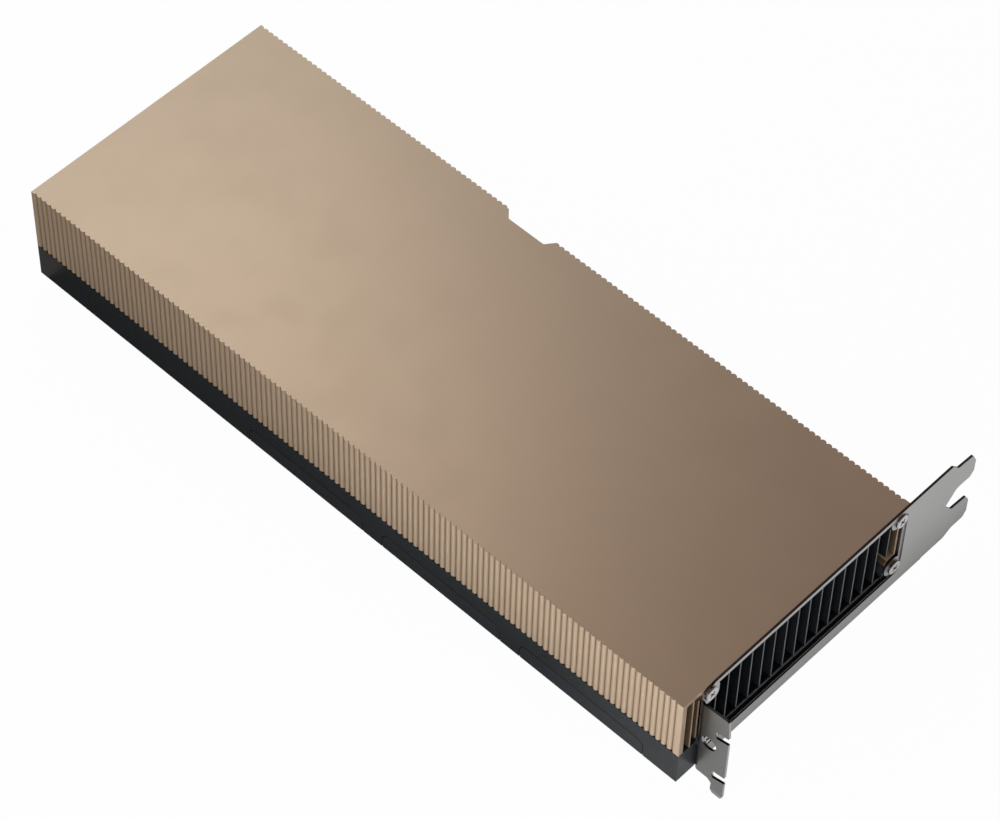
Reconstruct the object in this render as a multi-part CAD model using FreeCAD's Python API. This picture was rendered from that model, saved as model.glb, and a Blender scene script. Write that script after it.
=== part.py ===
import FreeCAD, Part
import math
import os

from FreeCAD import Vector

# Passive accelerator card: a dual-slot, full-height, full-length server card with no fan.
#
# Card axes while modelling, in millimetres: X runs from the rear end to the bracket, Y from the card's
# top edge (three bridge covers) to its slot edge (edge contacts), Z from the back plate up to the shroud.
# Every solid is moved to the part's own origin, bottom centre of the bounding box, as it is written.

# Envelope of the card body
BODY_LENGTH = 267.0
BODY_WIDTH = 97.5
FRAME_TOP = 13.3
SHROUD_TOP = 38.53

# Reeded shroud
RIB_PITCH = 2.1675
RIB_DEPTH = 0.75
RIB_COUNT = 121
REAR_LAND = 1.85
WALL = 1.8
ROOF = 1.6
DUCT_WALL = 0.8
DUCT_OUTSET = 2.9
DUCT_REAR = 2.0
NOTCH_MOUTH = (108.1, 127.8)
NOTCH_FLOOR = (111.0, 125.6)
NOTCH_DEPTH = 3.3
NOTCH_WALL = 1.1
NOTCH_CORNER = 0.8
SHROUD_BOSS_REAR = 255.0
SHROUD_BOSS_RADIUS = 3.2
LIP_REAR = 253.0
LIP_INNER = 3.9
LIP_SECTOR = (70.0, 140.0)

# Frame, back plate and board levels
RAIL = 2.2
END_RAIL = 2.4
FLANGE = 4.2
FLANGE_THICKNESS = 2.0
FRONT_WALL_TOP = 7.0
BACKPLATE = 1.4
BOARD_BOTTOM = 3.2
BOARD_TOP = 4.77
BOARD_NEAR = 4.0
BOARD_FAR = 97.0
BOARD_REAR = 2.8
BOARD_FRONT = 264.4
EDGE_GAP = 0.2

# Bridge connectors along the top edge
COVER_CENTRES = (117.85, 174.0, 230.05)
COVER_WIDTH = 48.4
COVER_HEIGHT = 6.65
COVER_CORNER = 3.0
COVER_FACE = 1.2
COVER_GROOVE = 0.28
BRIDGE_TONGUE = 38.0
BRIDGE_TONGUE_END = 2.7
CLIP_OFFSET = 21.0
CLIP_HALF = 1.5
CLIP_REACH = 1.1
CLIP_LEVELS = (4.9, 7.7)

# Slot edge of the board
TONGUE_END = 111.15
TONGUE_FROM_BRACKET = 46.45
KEY_OFFSET = 11.65
KEY_WIDTH = 1.9
KEY_DEPTH = 7.7
TONGUE_LENGTH = 85.2
HOOK_GAP = 4.1
HOOK_POST = 3.2
HOOK_TOE = 2.4
HOOK_LENGTH = 6.9
CONTACT_PITCH = 1.0
CONTACT_WIDTH = 0.7
CONTACT_LENGTH = 5.6
CONTACT_THICKNESS = 0.05

# Processor package and cooler
PACKAGE = (150.0, 50.0)
SUBSTRATE = 55.0
SUBSTRATE_TOP = 6.27
DIE = (22.0, 33.0)
DIE_TOP = 7.0
STACK = (8.0, 10.6)
STACK_PITCH = 11.2
BASE_BOTTOM = 7.8
BASE_TOP = 9.0
BASE_NEAR = 13.2
BASE_FAR = 91.5
COOLER_REAR = 14.0
COOLER_FRONT = 266.2
FIN_COUNT = 16
FIN_PITCH = 5.015
FIN_FIRST = 15.6
FIN_THICKNESS = 0.5
FIN_TOP = 36.6
FIN_GAP = 0.3
FIN_BEND = 0.6
SPRING_REACH = 36.0
SPRING_THICKNESS = 0.6
SPRING_WIDTH = 9.0
STIFFENER_BAND = 6.0
STIFFENER_THICKNESS = 0.6
STACK_GAP = 0.6
PEDESTAL = (41.0, 37.0)
COOLER_BOSS_RADIUS = 2.8
FIN_LOW_CUT_REAR = 252.5
FIN_HIGH_CUT_REAR = 254.5

# Power converters and capacitors
PHASES = 10
PHASE_FIRST = 18.0
PHASE_PITCH = 7.2
INDUCTOR_X = (92.0, 208.0)
INDUCTOR = (6.2, 6.2)
INDUCTOR_HEIGHT = 2.6
INDUCTOR_PAD_WIDTH = 7.0
STAGE_X = (101.5, 198.5)
STAGE = (6.0, 5.0)
STAGE_HEIGHT = 0.8
STAGE_PAD_WIDTH = 5.4
CAPACITOR_X = (24.0, 32.0, 236.0, 244.0)
CAPACITOR_Y = (26.0, 38.0, 50.0, 62.0, 74.0)
CAPACITOR = (4.3, 7.3)
CAPACITOR_HEIGHT = 2.8

# Bracket, pressed from stainless sheet
SHEET = 0.8
FACE = BODY_LENGTH + SHEET
JOGGLE = 0.4
BEND_OUTER = 1.6
HEAD_GAP = 0.3
TAB_TOP_Y = 7.3
TAB_REACH = 278.43
TAB_ROOT_TOP = 33.7
TAB_HOLE = (271.67, 17.1)
TAB_HOLE_RADIUS = 2.7
NOTCH_PITCH = 20.32
BRACKET_LOW = 1.7
BRACKET_HIGH = 38.6
BRACKET_STEP = 0.35
TONGUE_TIP = 127.8
TONGUE_HALF = 5.2
LOW_TONGUE_Z = 9.1
CROTCH_Y = 115.7
CROTCH_Z = 19.4
RECESS = (8.9, 96.4, 7.2, 37.0)
RECESS_CORNER = 2.8
WINDOW = (10.1, 95.2, 8.0, 36.1)
WINDOW_CORNER = 1.8
SCREW_NEAR = 10.9
SCREW_FAR = 93.1
SCREW_HIGH = 34.9
SCREW_LOW = 12.0
LUG_RADIUS = 3.0
FRAME_BOSS_RADIUS = 3.6
FRAME_BOSS_REAR = 256.0
FINGER_LOW = -5.5

# Fasteners
M3_RADIUS = 1.25
M3_CLEAR = 1.6
M3_LENGTH = 8.0
M3_HOLE_REAR = 257.5
M3_HEAD = 2.45
M3_HEAD_HEIGHT = 1.1
M3_RECESS = 0.6
HEAD_ROUNDING = 0.45
CROSS_WIDTH = 0.75
CROSS_REACH = 0.575
BACK_SCREW_X = (8.0, 72.0, 145.85, 202.0, 260.0)
BACK_SCREW_Y = (8.0, 94.0)
BACK_SCREW_RADIUS = 1.1
BACK_SCREW_HEAD = 2.1
BACK_SCREW_TIP = 8.6
BACK_BOSS_HALF = 3.0
BACK_BOSS_TOP = 10.0
SHROUD_SCREW_X = (20.0, 85.0, 165.0, 235.0)
SHROUD_SCREW_INSET = 4.3
SHROUD_SCREW_RADIUS = 1.0
SHROUD_SCREW_HEAD = 1.9
SHROUD_SCREW_HEAD_HEIGHT = 1.3
SHROUD_SCREW_LENGTH = 7.0
SHROUD_BLOCK_HALF = 3.0
SHROUD_BLOCK_REACH = 6.2
SHROUD_BLOCK_HEIGHT = 8.5
COOLER_SCREW_HEAD = (2.3, 1.0)
EXTENDER_Y = (12.0, 50.0, 62.0)
EXTENDER_Z = 9.2
EXTENDER_DEPTH = 7.0
EXTENDER_BOSS_RADIUS = 3.2
EXTENDER_BOSS_FRONT = 8.5

# Power socket at the rear end
SOCKET_CENTRE = 78.0
SOCKET_WIDTH = 22.3
SOCKET_HEIGHT = 8.5
SOCKET_REAR = 0.4
SOCKET_FRONT = 13.0
SOCKET_WALL = 1.2
SOCKET_FLOOR = 0.9
SOCKET_BACK = 2.5
PIN_COLUMNS = 6
PIN_PITCH = 3.0
PIN_LEVELS = (3.0, 6.0)
PIN_REAR = 4.7
PIN_HALF = (0.6, 0.5)
SENSE_PITCH = 1.6
SENSE_LEVELS = (1.1, 1.6)
SENSE_HALF = 0.25

ORIGIN = Vector(TAB_REACH / 2, TONGUE_TIP / 2, FINGER_LOW)


def box(x0, x1, y0, y1, z0, z1):
    """Block between two opposite corners."""
    return Part.makeBox(x1 - x0, y1 - y0, z1 - z0, Vector(x0, y0, z0))


def rod(start, radius, length, direction):
    """Round bar from a start point along a direction."""
    return Part.makeCylinder(radius, length, Vector(*start), Vector(*direction))


def join(shapes):
    """One solid from touching shapes, with the seams between coplanar faces removed."""
    shapes = list(shapes)
    if len(shapes) == 1:
        return shapes[0]
    return shapes[0].multiFuse(shapes[1:]).removeSplitter()


def place(axis, u, v, level):
    """Point of a sketch drawn across an axis: (Y, Z) across x, (X, Z) across y, (X, Y) across z."""
    if axis == "x":
        return Vector(level, u, v)
    if axis == "y":
        return Vector(u, level, v)
    return Vector(u, v, level)


def rounded_wire(corners, axis, level):
    """Closed outline through (u, v, radius) corners, each corner rounded by its radius."""
    edges = []
    joints = []
    count = len(corners)
    for index in range(count):
        u, v, radius = corners[index]
        here = place(axis, u, v, level)
        before = place(axis, *corners[index - 1][:2], level)
        after = place(axis, *corners[(index + 1) % count][:2], level)
        if radius <= 0:
            joints.append((here, here))
            continue
        back = (before - here).normalize()
        ahead = (after - here).normalize()
        half = back.getAngle(ahead) / 2
        setback = radius / math.tan(half)
        start = here + back * setback
        end = here + ahead * setback
        middle = here + (back + ahead).normalize() * (radius / math.sin(half) - radius)
        joints.append((start, end))
        edges.append(Part.Arc(start, middle, end).toShape())
    for index in range(count):
        start = joints[index][1]
        end = joints[(index + 1) % count][0]
        if start.distanceToPoint(end) > 1e-6:
            edges.append(Part.LineSegment(start, end).toShape())
    return Part.Wire(Part.__sortEdges__(edges))


def sheet(corners, axis, start, end):
    """Flat plate with a rounded outline, between two levels along an axis."""
    face = Part.Face(rounded_wire(corners, axis, start))
    return face.extrude(place(axis, 0, 0, end - start))


def rectangle(u0, u1, v0, v1, radius=0.0):
    """Corners of a rectangle, for an outline."""
    return [(u0, v0, radius), (u1, v0, radius), (u1, v1, radius), (u0, v1, radius)]


def screw(start, direction, head_radius, head_height, radius, length, recess=0.0):
    """Pan-head machine screw; start is the underside of the head on the axis."""
    along = Vector(*direction)
    base = Vector(*start)
    head = Part.makeCylinder(head_radius, head_height, base - along * head_height, along)
    rim = [edge for edge in head.Edges
           if edge.Length > head_radius and (edge.CenterOfMass - base).Length > head_height / 2]
    head = head.makeFillet(head_height * HEAD_ROUNDING, rim[:1])
    if recess > 0:
        top = base - along * head_height
        for turn in (45, -45):
            reach = head_radius * CROSS_REACH
            slot = Part.makeBox(2 * reach, CROSS_WIDTH, 2 * recess, Vector(-reach, -CROSS_WIDTH / 2, -recess))
            slot.rotate(Vector(0, 0, 0), Vector(0, 0, 1), turn)
            facing = FreeCAD.Placement(top, FreeCAD.Rotation(Vector(0, 0, 1), along))
            slot.Placement = facing.multiply(slot.Placement)
            head = head.cut(slot)
    shank = Part.makeCylinder(radius, length, base, along)
    return join([head, shank])


def write(name, shape):
    """Move a finished node to the part's origin and write it."""
    moved = shape.copy()
    moved.translate(ORIGIN * -1)
    moved.exportStep("parts/" + name + ".step")


def write_group(name, solids):
    """Write like pieces as one node of separate solids."""
    write(name, Part.makeCompound(solids))


# ---------------------------------------------------------------- shroud

def reeded_side(base_y, outward):
    """Edges of one long side, from the rear corner to the front one: half-round reeds between plain lands."""
    valley = base_y - outward * RIB_DEPTH
    half = RIB_PITCH / 2
    radius = (half ** 2 + RIB_DEPTH ** 2) / (2 * RIB_DEPTH)
    centre = base_y - outward * radius
    quarter = math.asin(half / radius) / 2

    def point(x, y):
        return Vector(x, y, FRAME_TOP)

    def on_reed(crest, angle):
        return point(crest + radius * math.sin(angle), centre + outward * radius * math.cos(angle))

    first = REAR_LAND
    last = REAR_LAND + RIB_COUNT * RIB_PITCH
    edges = [Part.LineSegment(point(0, base_y), point(first - half, base_y)).toShape()]
    edges.append(Part.Arc(point(first - half, base_y), on_reed(first - half, quarter),
                          point(first, valley)).toShape())
    for index in range(RIB_COUNT):
        start = first + index * RIB_PITCH
        crest = start + half
        edges.append(Part.Arc(point(start, valley), point(crest, base_y),
                              point(start + RIB_PITCH, valley)).toShape())
    edges.append(Part.Arc(point(last, valley), on_reed(last + half, -quarter),
                          point(last + half, base_y)).toShape())
    edges.append(Part.LineSegment(point(last + half, base_y), point(BODY_LENGTH, base_y)).toShape())
    return edges


def latch_notch(margin):
    """Trapezoid plan of the latch notch in the slot edge, grown by a margin on its three walls."""
    slope = (NOTCH_FLOOR[0] - NOTCH_MOUTH[0]) / NOTCH_DEPTH
    reach = 3.0
    floor = BODY_WIDTH - NOTCH_DEPTH - margin
    return [(NOTCH_MOUTH[0] - margin - reach * slope, BODY_WIDTH + reach, 0),
            (NOTCH_FLOOR[0] - margin, floor, NOTCH_CORNER),
            (NOTCH_FLOOR[1] + margin, floor, NOTCH_CORNER),
            (NOTCH_MOUTH[1] + margin + reach * slope, BODY_WIDTH + reach, 0)]


def screw_points(height_pairs):
    """Bracket screw axes as (Y, Z)."""
    return [(y, z) for y in (SCREW_NEAR, SCREW_FAR) for z in height_pairs]


def ledge_pocket():
    """Shallow relief in the body's front end for the bracket's joggled ledge."""
    back = BODY_LENGTH - JOGGLE
    near, far, low, high = RECESS
    margin = SHEET / 2 + 0.1
    outline = rectangle(near - margin, far + margin, low - margin, high + margin, RECESS_CORNER + margin)
    pocket = [sheet(outline, "x", back, FACE)]
    for y, z in screw_points((SCREW_LOW, SCREW_HIGH)):
        pocket.append(rod((back, y, z), M3_HEAD + HEAD_GAP + margin, 2.0, (1, 0, 0)))
    return join(pocket)


def make_shroud():
    """Gold cover: reeded side walls, roof, duct walls, screw bosses and the latch notch, in one casting."""
    near = reeded_side(0.0, -1)
    far = reeded_side(BODY_WIDTH, 1)
    ends = [Part.LineSegment(Vector(x, 0, FRAME_TOP), Vector(x, BODY_WIDTH, FRAME_TOP)).toShape()
            for x in (0, BODY_LENGTH)]
    outline = Part.Wire(Part.__sortEdges__(near + far + ends))
    body = Part.Face(outline).extrude(Vector(0, 0, SHROUD_TOP - FRAME_TOP))
    roof_inside = SHROUD_TOP - ROOF
    hollow = box(-1, BODY_LENGTH + 1, WALL, BODY_WIDTH - WALL, FRAME_TOP - 1, roof_inside)
    hollow = hollow.cut(sheet(latch_notch(NOTCH_WALL), "z", FRAME_TOP - 2, SHROUD_TOP))
    body = body.cut(hollow)
    far_duct = BODY_WIDTH - DUCT_OUTSET
    additions = [
        box(DUCT_REAR, BODY_LENGTH, DUCT_OUTSET, DUCT_OUTSET + DUCT_WALL, FRAME_TOP, roof_inside),
        box(DUCT_REAR, BODY_LENGTH, far_duct - DUCT_WALL, far_duct, FRAME_TOP, roof_inside),
    ]
    start = SHROUD_BOSS_REAR
    half = SHROUD_BOSS_RADIUS
    for y, z in screw_points((SCREW_HIGH,)):
        boss = rod((start, y, z), half, BODY_LENGTH - start, (1, 0, 0))
        web = box(start, BODY_LENGTH, y - half, y + half, z, roof_inside)
        additions += [boss, web]
    half = SHROUD_BLOCK_HALF
    top = FRAME_TOP + SHROUD_BLOCK_HEIGHT
    for x in SHROUD_SCREW_X:
        additions.append(box(x - half, x + half, WALL, SHROUD_BLOCK_REACH, FRAME_TOP, top))
        additions.append(box(x - half, x + half, BODY_WIDTH - SHROUD_BLOCK_REACH, BODY_WIDTH - WALL,
                             FRAME_TOP, top))
    additions.append(lower_lip())
    body = join([body] + additions)
    cuts = [sheet(latch_notch(0.0), "z", FRAME_TOP - 1, SHROUD_TOP + 1), ledge_pocket(),
            rod((LIP_REAR, SCREW_FAR, SCREW_LOW), LIP_INNER, 20.0, (1, 0, 0))]
    for y, z in screw_points((SCREW_HIGH,)):
        cuts.append(rod((M3_HOLE_REAR, y, z), M3_RADIUS, 12.0, (1, 0, 0)))
    for x in SHROUD_SCREW_X:
        for y in (SHROUD_SCREW_INSET, BODY_WIDTH - SHROUD_SCREW_INSET):
            cuts.append(rod((x, y, FRAME_TOP - 1), SHROUD_SCREW_RADIUS, SHROUD_SCREW_LENGTH, (0, 0, 1)))
    return body.cut(cuts)


def lower_lip():
    """Foot of the far duct wall where it curls over the lower bracket boss."""
    outer = LIP_INNER + DUCT_WALL
    ring = rod((LIP_REAR, SCREW_FAR, SCREW_LOW), outer, BODY_LENGTH - LIP_REAR, (1, 0, 0))
    ring = ring.cut(rod((LIP_REAR - 1, SCREW_FAR, SCREW_LOW), LIP_INNER, 20.0, (1, 0, 0)))
    start, end = [math.radians(angle) for angle in LIP_SECTOR]
    reach = 3 * outer
    sector = [(SCREW_FAR, SCREW_LOW, 0),
              (SCREW_FAR + reach * math.cos(start), SCREW_LOW + reach * math.sin(start), 0),
              (SCREW_FAR + reach * math.cos(end), SCREW_LOW + reach * math.sin(end), 0)]
    return ring.common(sheet(sector, "x", LIP_REAR - 1, BODY_LENGTH))


# ---------------------------------------------------------------- frame and covers

def cover_corners(centre, width, height, radius):
    """Outline of a bridge opening: square at the open bottom edge, round at the top corners."""
    return [(centre - width / 2, 0.0, 0), (centre + width / 2, 0.0, 0),
            (centre + width / 2, height, radius), (centre - width / 2, height, radius)]


def back_bosses():
    """Frame bosses over the back-plate screws."""
    bosses = []
    half = BACK_BOSS_HALF
    for x in BACK_SCREW_X:
        bosses.append(box(x - half, x + half, RAIL - 0.2, BACK_SCREW_Y[0] + half,
                          BOARD_TOP, BACK_BOSS_TOP))
        bosses.append(box(x - half, x + half, BASE_FAR + EDGE_GAP, BODY_WIDTH - RAIL + 0.2,
                          BOARD_TOP, BACK_BOSS_TOP))
    return bosses


def make_base_frame():
    """Black frame: near, rear, far and front rails, shroud flanges, screw bosses and cover openings."""
    inner_far = BODY_WIDTH - RAIL
    flange_low = FRAME_TOP - FLANGE_THICKNESS
    front_inside = BODY_LENGTH - END_RAIL
    parts = [
        box(0, BODY_LENGTH, 0, RAIL, 0, FRAME_TOP),
        box(0, END_RAIL, 0, BODY_WIDTH, 0, FRAME_TOP),
        box(0, BODY_LENGTH, inner_far, BODY_WIDTH, BOARD_TOP, FRAME_TOP),
        box(front_inside, BODY_LENGTH, 0, BODY_WIDTH, 0, FRONT_WALL_TOP),
        box(front_inside, BODY_LENGTH, 0, TAB_TOP_Y + 0.2, 0, FRAME_TOP),
        box(0, BODY_LENGTH, RAIL, RAIL + FLANGE, flange_low, FRAME_TOP),
        box(0, BODY_LENGTH, inner_far - FLANGE, inner_far, flange_low, FRAME_TOP),
    ]
    jog = sheet(latch_notch(NOTCH_WALL), "z", BOARD_TOP, FRAME_TOP)
    parts.append(jog.common(box(100, 136, 90, BODY_WIDTH, BOARD_TOP, FRAME_TOP)))
    parts += back_bosses()
    start = FRAME_BOSS_REAR
    half = FRAME_BOSS_RADIUS
    for y, z in screw_points((SCREW_LOW,)):
        parts.append(rod((start, y, z), half, BODY_LENGTH - start, (1, 0, 0)))
        parts.append(box(start, BODY_LENGTH, y - half, y + half, BOARD_TOP, z))
    half = EXTENDER_BOSS_RADIUS
    for y in EXTENDER_Y:
        parts.append(rod((0, y, EXTENDER_Z), half, EXTENDER_BOSS_FRONT, (1, 0, 0)))
        parts.append(box(0, EXTENDER_BOSS_FRONT, y - half, y + half, BOARD_TOP, EXTENDER_Z))
    frame = join(parts)
    half = SOCKET_WIDTH / 2 + 0.3
    cuts = [sheet(latch_notch(0.0), "z", BOARD_TOP - 6, FRAME_TOP + 1), ledge_pocket(),
            box(-1, END_RAIL + 1, SOCKET_CENTRE - half, SOCKET_CENTRE + half, BOARD_BOTTOM, FRAME_TOP + 1)]
    for centre in COVER_CENTRES:
        corners = cover_corners(centre, COVER_WIDTH, COVER_HEIGHT, COVER_CORNER)
        cuts.append(sheet([(u, v - (v < 1), r) for u, v, r in corners], "y", -1, RAIL))
    for y, z in screw_points((SCREW_LOW,)):
        cuts.append(rod((M3_HOLE_REAR, y, z), M3_RADIUS, 12.0, (1, 0, 0)))
    for y in EXTENDER_Y:
        cuts.append(rod((-1, y, EXTENDER_Z), M3_RADIUS, EXTENDER_DEPTH + 1, (1, 0, 0)))
    for x in BACK_SCREW_X:
        for y in BACK_SCREW_Y:
            depth = BACK_SCREW_TIP - BOARD_TOP + 1.2
            cuts.append(rod((x, y, BOARD_TOP - 1), BACK_SCREW_RADIUS, depth, (0, 0, 1)))
    for x in SHROUD_SCREW_X:
        for y in (SHROUD_SCREW_INSET, BODY_WIDTH - SHROUD_SCREW_INSET):
            cuts.append(rod((x, y, flange_low - 1), SHROUD_SCREW_RADIUS + 0.15, 5.0, (0, 0, 1)))
    return frame.cut(cuts)


def make_cover(centre):
    """Snap-in cap over one bridge connector: grooved face, full-size body and two clips."""
    groove = COVER_GROOVE
    corners = cover_corners(centre, COVER_WIDTH - 2 * groove, COVER_HEIGHT - groove, COVER_CORNER - groove)
    face = sheet(corners, "y", 0, COVER_FACE)
    body = sheet(cover_corners(centre, COVER_WIDTH, COVER_HEIGHT, COVER_CORNER), "y", COVER_FACE, RAIL)
    clips = []
    for offset in (-CLIP_OFFSET, CLIP_OFFSET):
        x = centre + offset
        clips.append(box(x - CLIP_HALF, x + CLIP_HALF, RAIL, RAIL + CLIP_REACH, *CLIP_LEVELS))
    return join([face, body] + clips)


def make_backplate():
    """Black back plate with stand-offs under the board and countersunk screw holes."""
    rear = END_RAIL + EDGE_GAP
    front = BODY_LENGTH - END_RAIL - EDGE_GAP
    far = BODY_WIDTH - 0.5
    plate = [box(rear, front, RAIL + EDGE_GAP, far, 0, BACKPLATE),
             box(rear, front, BOARD_FAR - 1.2, far, BACKPLATE, BOARD_BOTTOM)]
    for x in BACK_SCREW_X:
        for y in BACK_SCREW_Y:
            plate.append(rod((x, y, 0), BACK_BOSS_HALF, BOARD_BOTTOM, (0, 0, 1)))
    body = join(plate)
    body = body.common(box(rear, BODY_LENGTH, 0, far, 0, BOARD_BOTTOM))
    cuts = [sheet(latch_notch(0.0), "z", -1, FRAME_TOP)]
    for x in BACK_SCREW_X:
        for y in BACK_SCREW_Y:
            cuts.append(rod((x, y, -1), BACK_SCREW_RADIUS, 10.0, (0, 0, 1)))
            depth = BACK_SCREW_HEAD - BACK_SCREW_RADIUS
            cuts.append(Part.makeCone(BACK_SCREW_HEAD, BACK_SCREW_RADIUS, depth, Vector(x, y, 0)))
    return body.cut(cuts)


# ---------------------------------------------------------------- bracket

def face_outline():
    """Outline of the bracket's face in (Y, Z): body panel, then the two slot tongues at the far end."""
    tip = TONGUE_TIP
    low = BRACKET_LOW + BRACKET_STEP
    lower_top = LOW_TONGUE_Z + TONGUE_HALF
    lower_bottom = LOW_TONGUE_Z - TONGUE_HALF
    upper_top = lower_top + NOTCH_PITCH
    upper_bottom = lower_bottom + NOTCH_PITCH
    root = TAB_TOP_Y + SHEET
    return [(root, 0.0, 0), (root + 1.6, 0.0, 0.8), (root + 3.4, BRACKET_LOW, 0.8),
            (107.0, BRACKET_LOW, 0), (107.5, low, 0), (117.6, low, 2.5),
            (120.9, lower_bottom, 2.0), (tip - 1.5, lower_bottom, 0.5), (tip, lower_bottom + 2.0, 0.8),
            (tip, lower_top - 2.9, 0.8), (tip - 1.6, lower_top, 0.5), (119.3, lower_top + 0.6, 0.6),
            (CROTCH_Y, CROTCH_Z, 0.9), (120.2, upper_bottom + 0.1, 2.5), (tip - 1.6, upper_bottom, 0.5),
            (tip, upper_bottom + 1.8, 0.8), (tip, upper_top - 3.6, 0.8), (tip - 1.8, upper_top, 0.5),
            (119.2, upper_top + 0.6, 0.6), (116.2, BRACKET_HIGH, 0.8), (12.6, BRACKET_HIGH, 1.5),
            (root + 0.3, 36.4, 0), (root, TAB_ROOT_TOP, 0)]


def tab_outline():
    """Outline of the fixing tab in (X, Z): foot finger, two notches in the outer edge, slanted top."""
    root = BODY_LENGTH + BEND_OUTER
    reach = TAB_REACH
    outline = [(root, 0.0, 0), (272.4, 0.0, 1.2), (273.9, -1.2, 1.2), (273.7, -4.3, 0.6),
               (274.6, FINGER_LOW, 0.4), (277.7, FINGER_LOW, 0.4), (reach - 0.1, -4.2, 0.5)]
    for lift in (0.0, NOTCH_PITCH):
        outline += [(reach, 3.1 + lift, 0.4), (273.9, 1.9 + lift, 0.5),
                    (273.8, 5.3 + lift, 0.7), (reach, 5.9 + lift, 0.5)]
    return outline + [(277.8, 34.3, 1.0), (root, TAB_ROOT_TOP, 0)]


def bracket_bend():
    """Quarter bend between the face and the fixing tab."""
    start = BODY_LENGTH
    turn_x = start + BEND_OUTER
    turn_y = TAB_TOP_Y + BEND_OUTER
    block = box(start, turn_x, TAB_TOP_Y, turn_y, 0, TAB_ROOT_TOP)
    bend = block.common(rod((turn_x, turn_y, -1), BEND_OUTER, 2 + TAB_ROOT_TOP, (0, 0, 1)))
    return bend.cut(rod((turn_x, turn_y, -1), BEND_OUTER - SHEET, 2 + TAB_ROOT_TOP, (0, 0, 1)))


def make_bracket():
    """Stainless bracket: face with a joggled window and four screw lugs, slot tongues, bent fixing tab."""
    inner = BODY_LENGTH
    root = TAB_TOP_Y + SHEET
    screws = screw_points((SCREW_LOW, SCREW_HIGH))
    pocket_radius = M3_HEAD + HEAD_GAP
    near, far, low, high = RECESS
    step = SHEET / 2
    face = sheet(face_outline(), "x", inner, FACE)
    face = face.cut(box(inner - 1, FACE + 1, root - 1, TAB_TOP_Y + BEND_OUTER, -1, TAB_ROOT_TOP))
    recess = [sheet(rectangle(near, far, low, high, RECESS_CORNER), "x", inner - 1, FACE + 1)]
    rim = rectangle(near - step, far + step, low - step, high + step, RECESS_CORNER + step)
    ledge = [sheet(rim, "x", inner - JOGGLE, FACE - JOGGLE)]
    lugs = [sheet(rectangle(near, 15.1, 29.6, high, 2.4), "x", inner - 2, FACE + 1)]
    for y, z in screws:
        recess.append(rod((inner - 1, y, z), pocket_radius, 3.0, (1, 0, 0)))
        ledge.append(rod((inner - JOGGLE, y, z), pocket_radius + step, SHEET, (1, 0, 0)))
        lugs.append(rod((inner - 2, y, z), LUG_RADIUS + 0.6, 4.0, (1, 0, 0)))
    window = sheet(rectangle(*WINDOW, WINDOW_CORNER), "x", inner - 2, FACE + 1).cut(lugs)
    tab = sheet(tab_outline(), "y", TAB_TOP_Y, root)
    plate = join([face, tab, bracket_bend()]).cut(join(recess))
    plate = join([plate, join(ledge).cut(window)])
    holes = [rod((TAB_HOLE[0], TAB_TOP_Y - 1, TAB_HOLE[1]), TAB_HOLE_RADIUS, 3.0, (0, 1, 0))]
    holes += [rod((inner - 2, y, z), M3_CLEAR, 5.0, (1, 0, 0)) for y, z in screws]
    return plate.cut(holes)


def make_bracket_screws():
    """Four pan-head screws with cross recesses that hold the bracket to the shroud and frame."""
    seat = FACE - JOGGLE
    return [screw((seat, y, z), (-1, 0, 0), M3_HEAD, M3_HEAD_HEIGHT, M3_RADIUS, M3_LENGTH, M3_RECESS)
            for y, z in screw_points((SCREW_LOW, SCREW_HIGH))]


# ---------------------------------------------------------------- board

def tongue_span():
    """Start and end of the slot tongue along X; it starts near the bracket and runs towards the rear."""
    start = BODY_LENGTH - TONGUE_FROM_BRACKET
    return start - TONGUE_LENGTH, start


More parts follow.
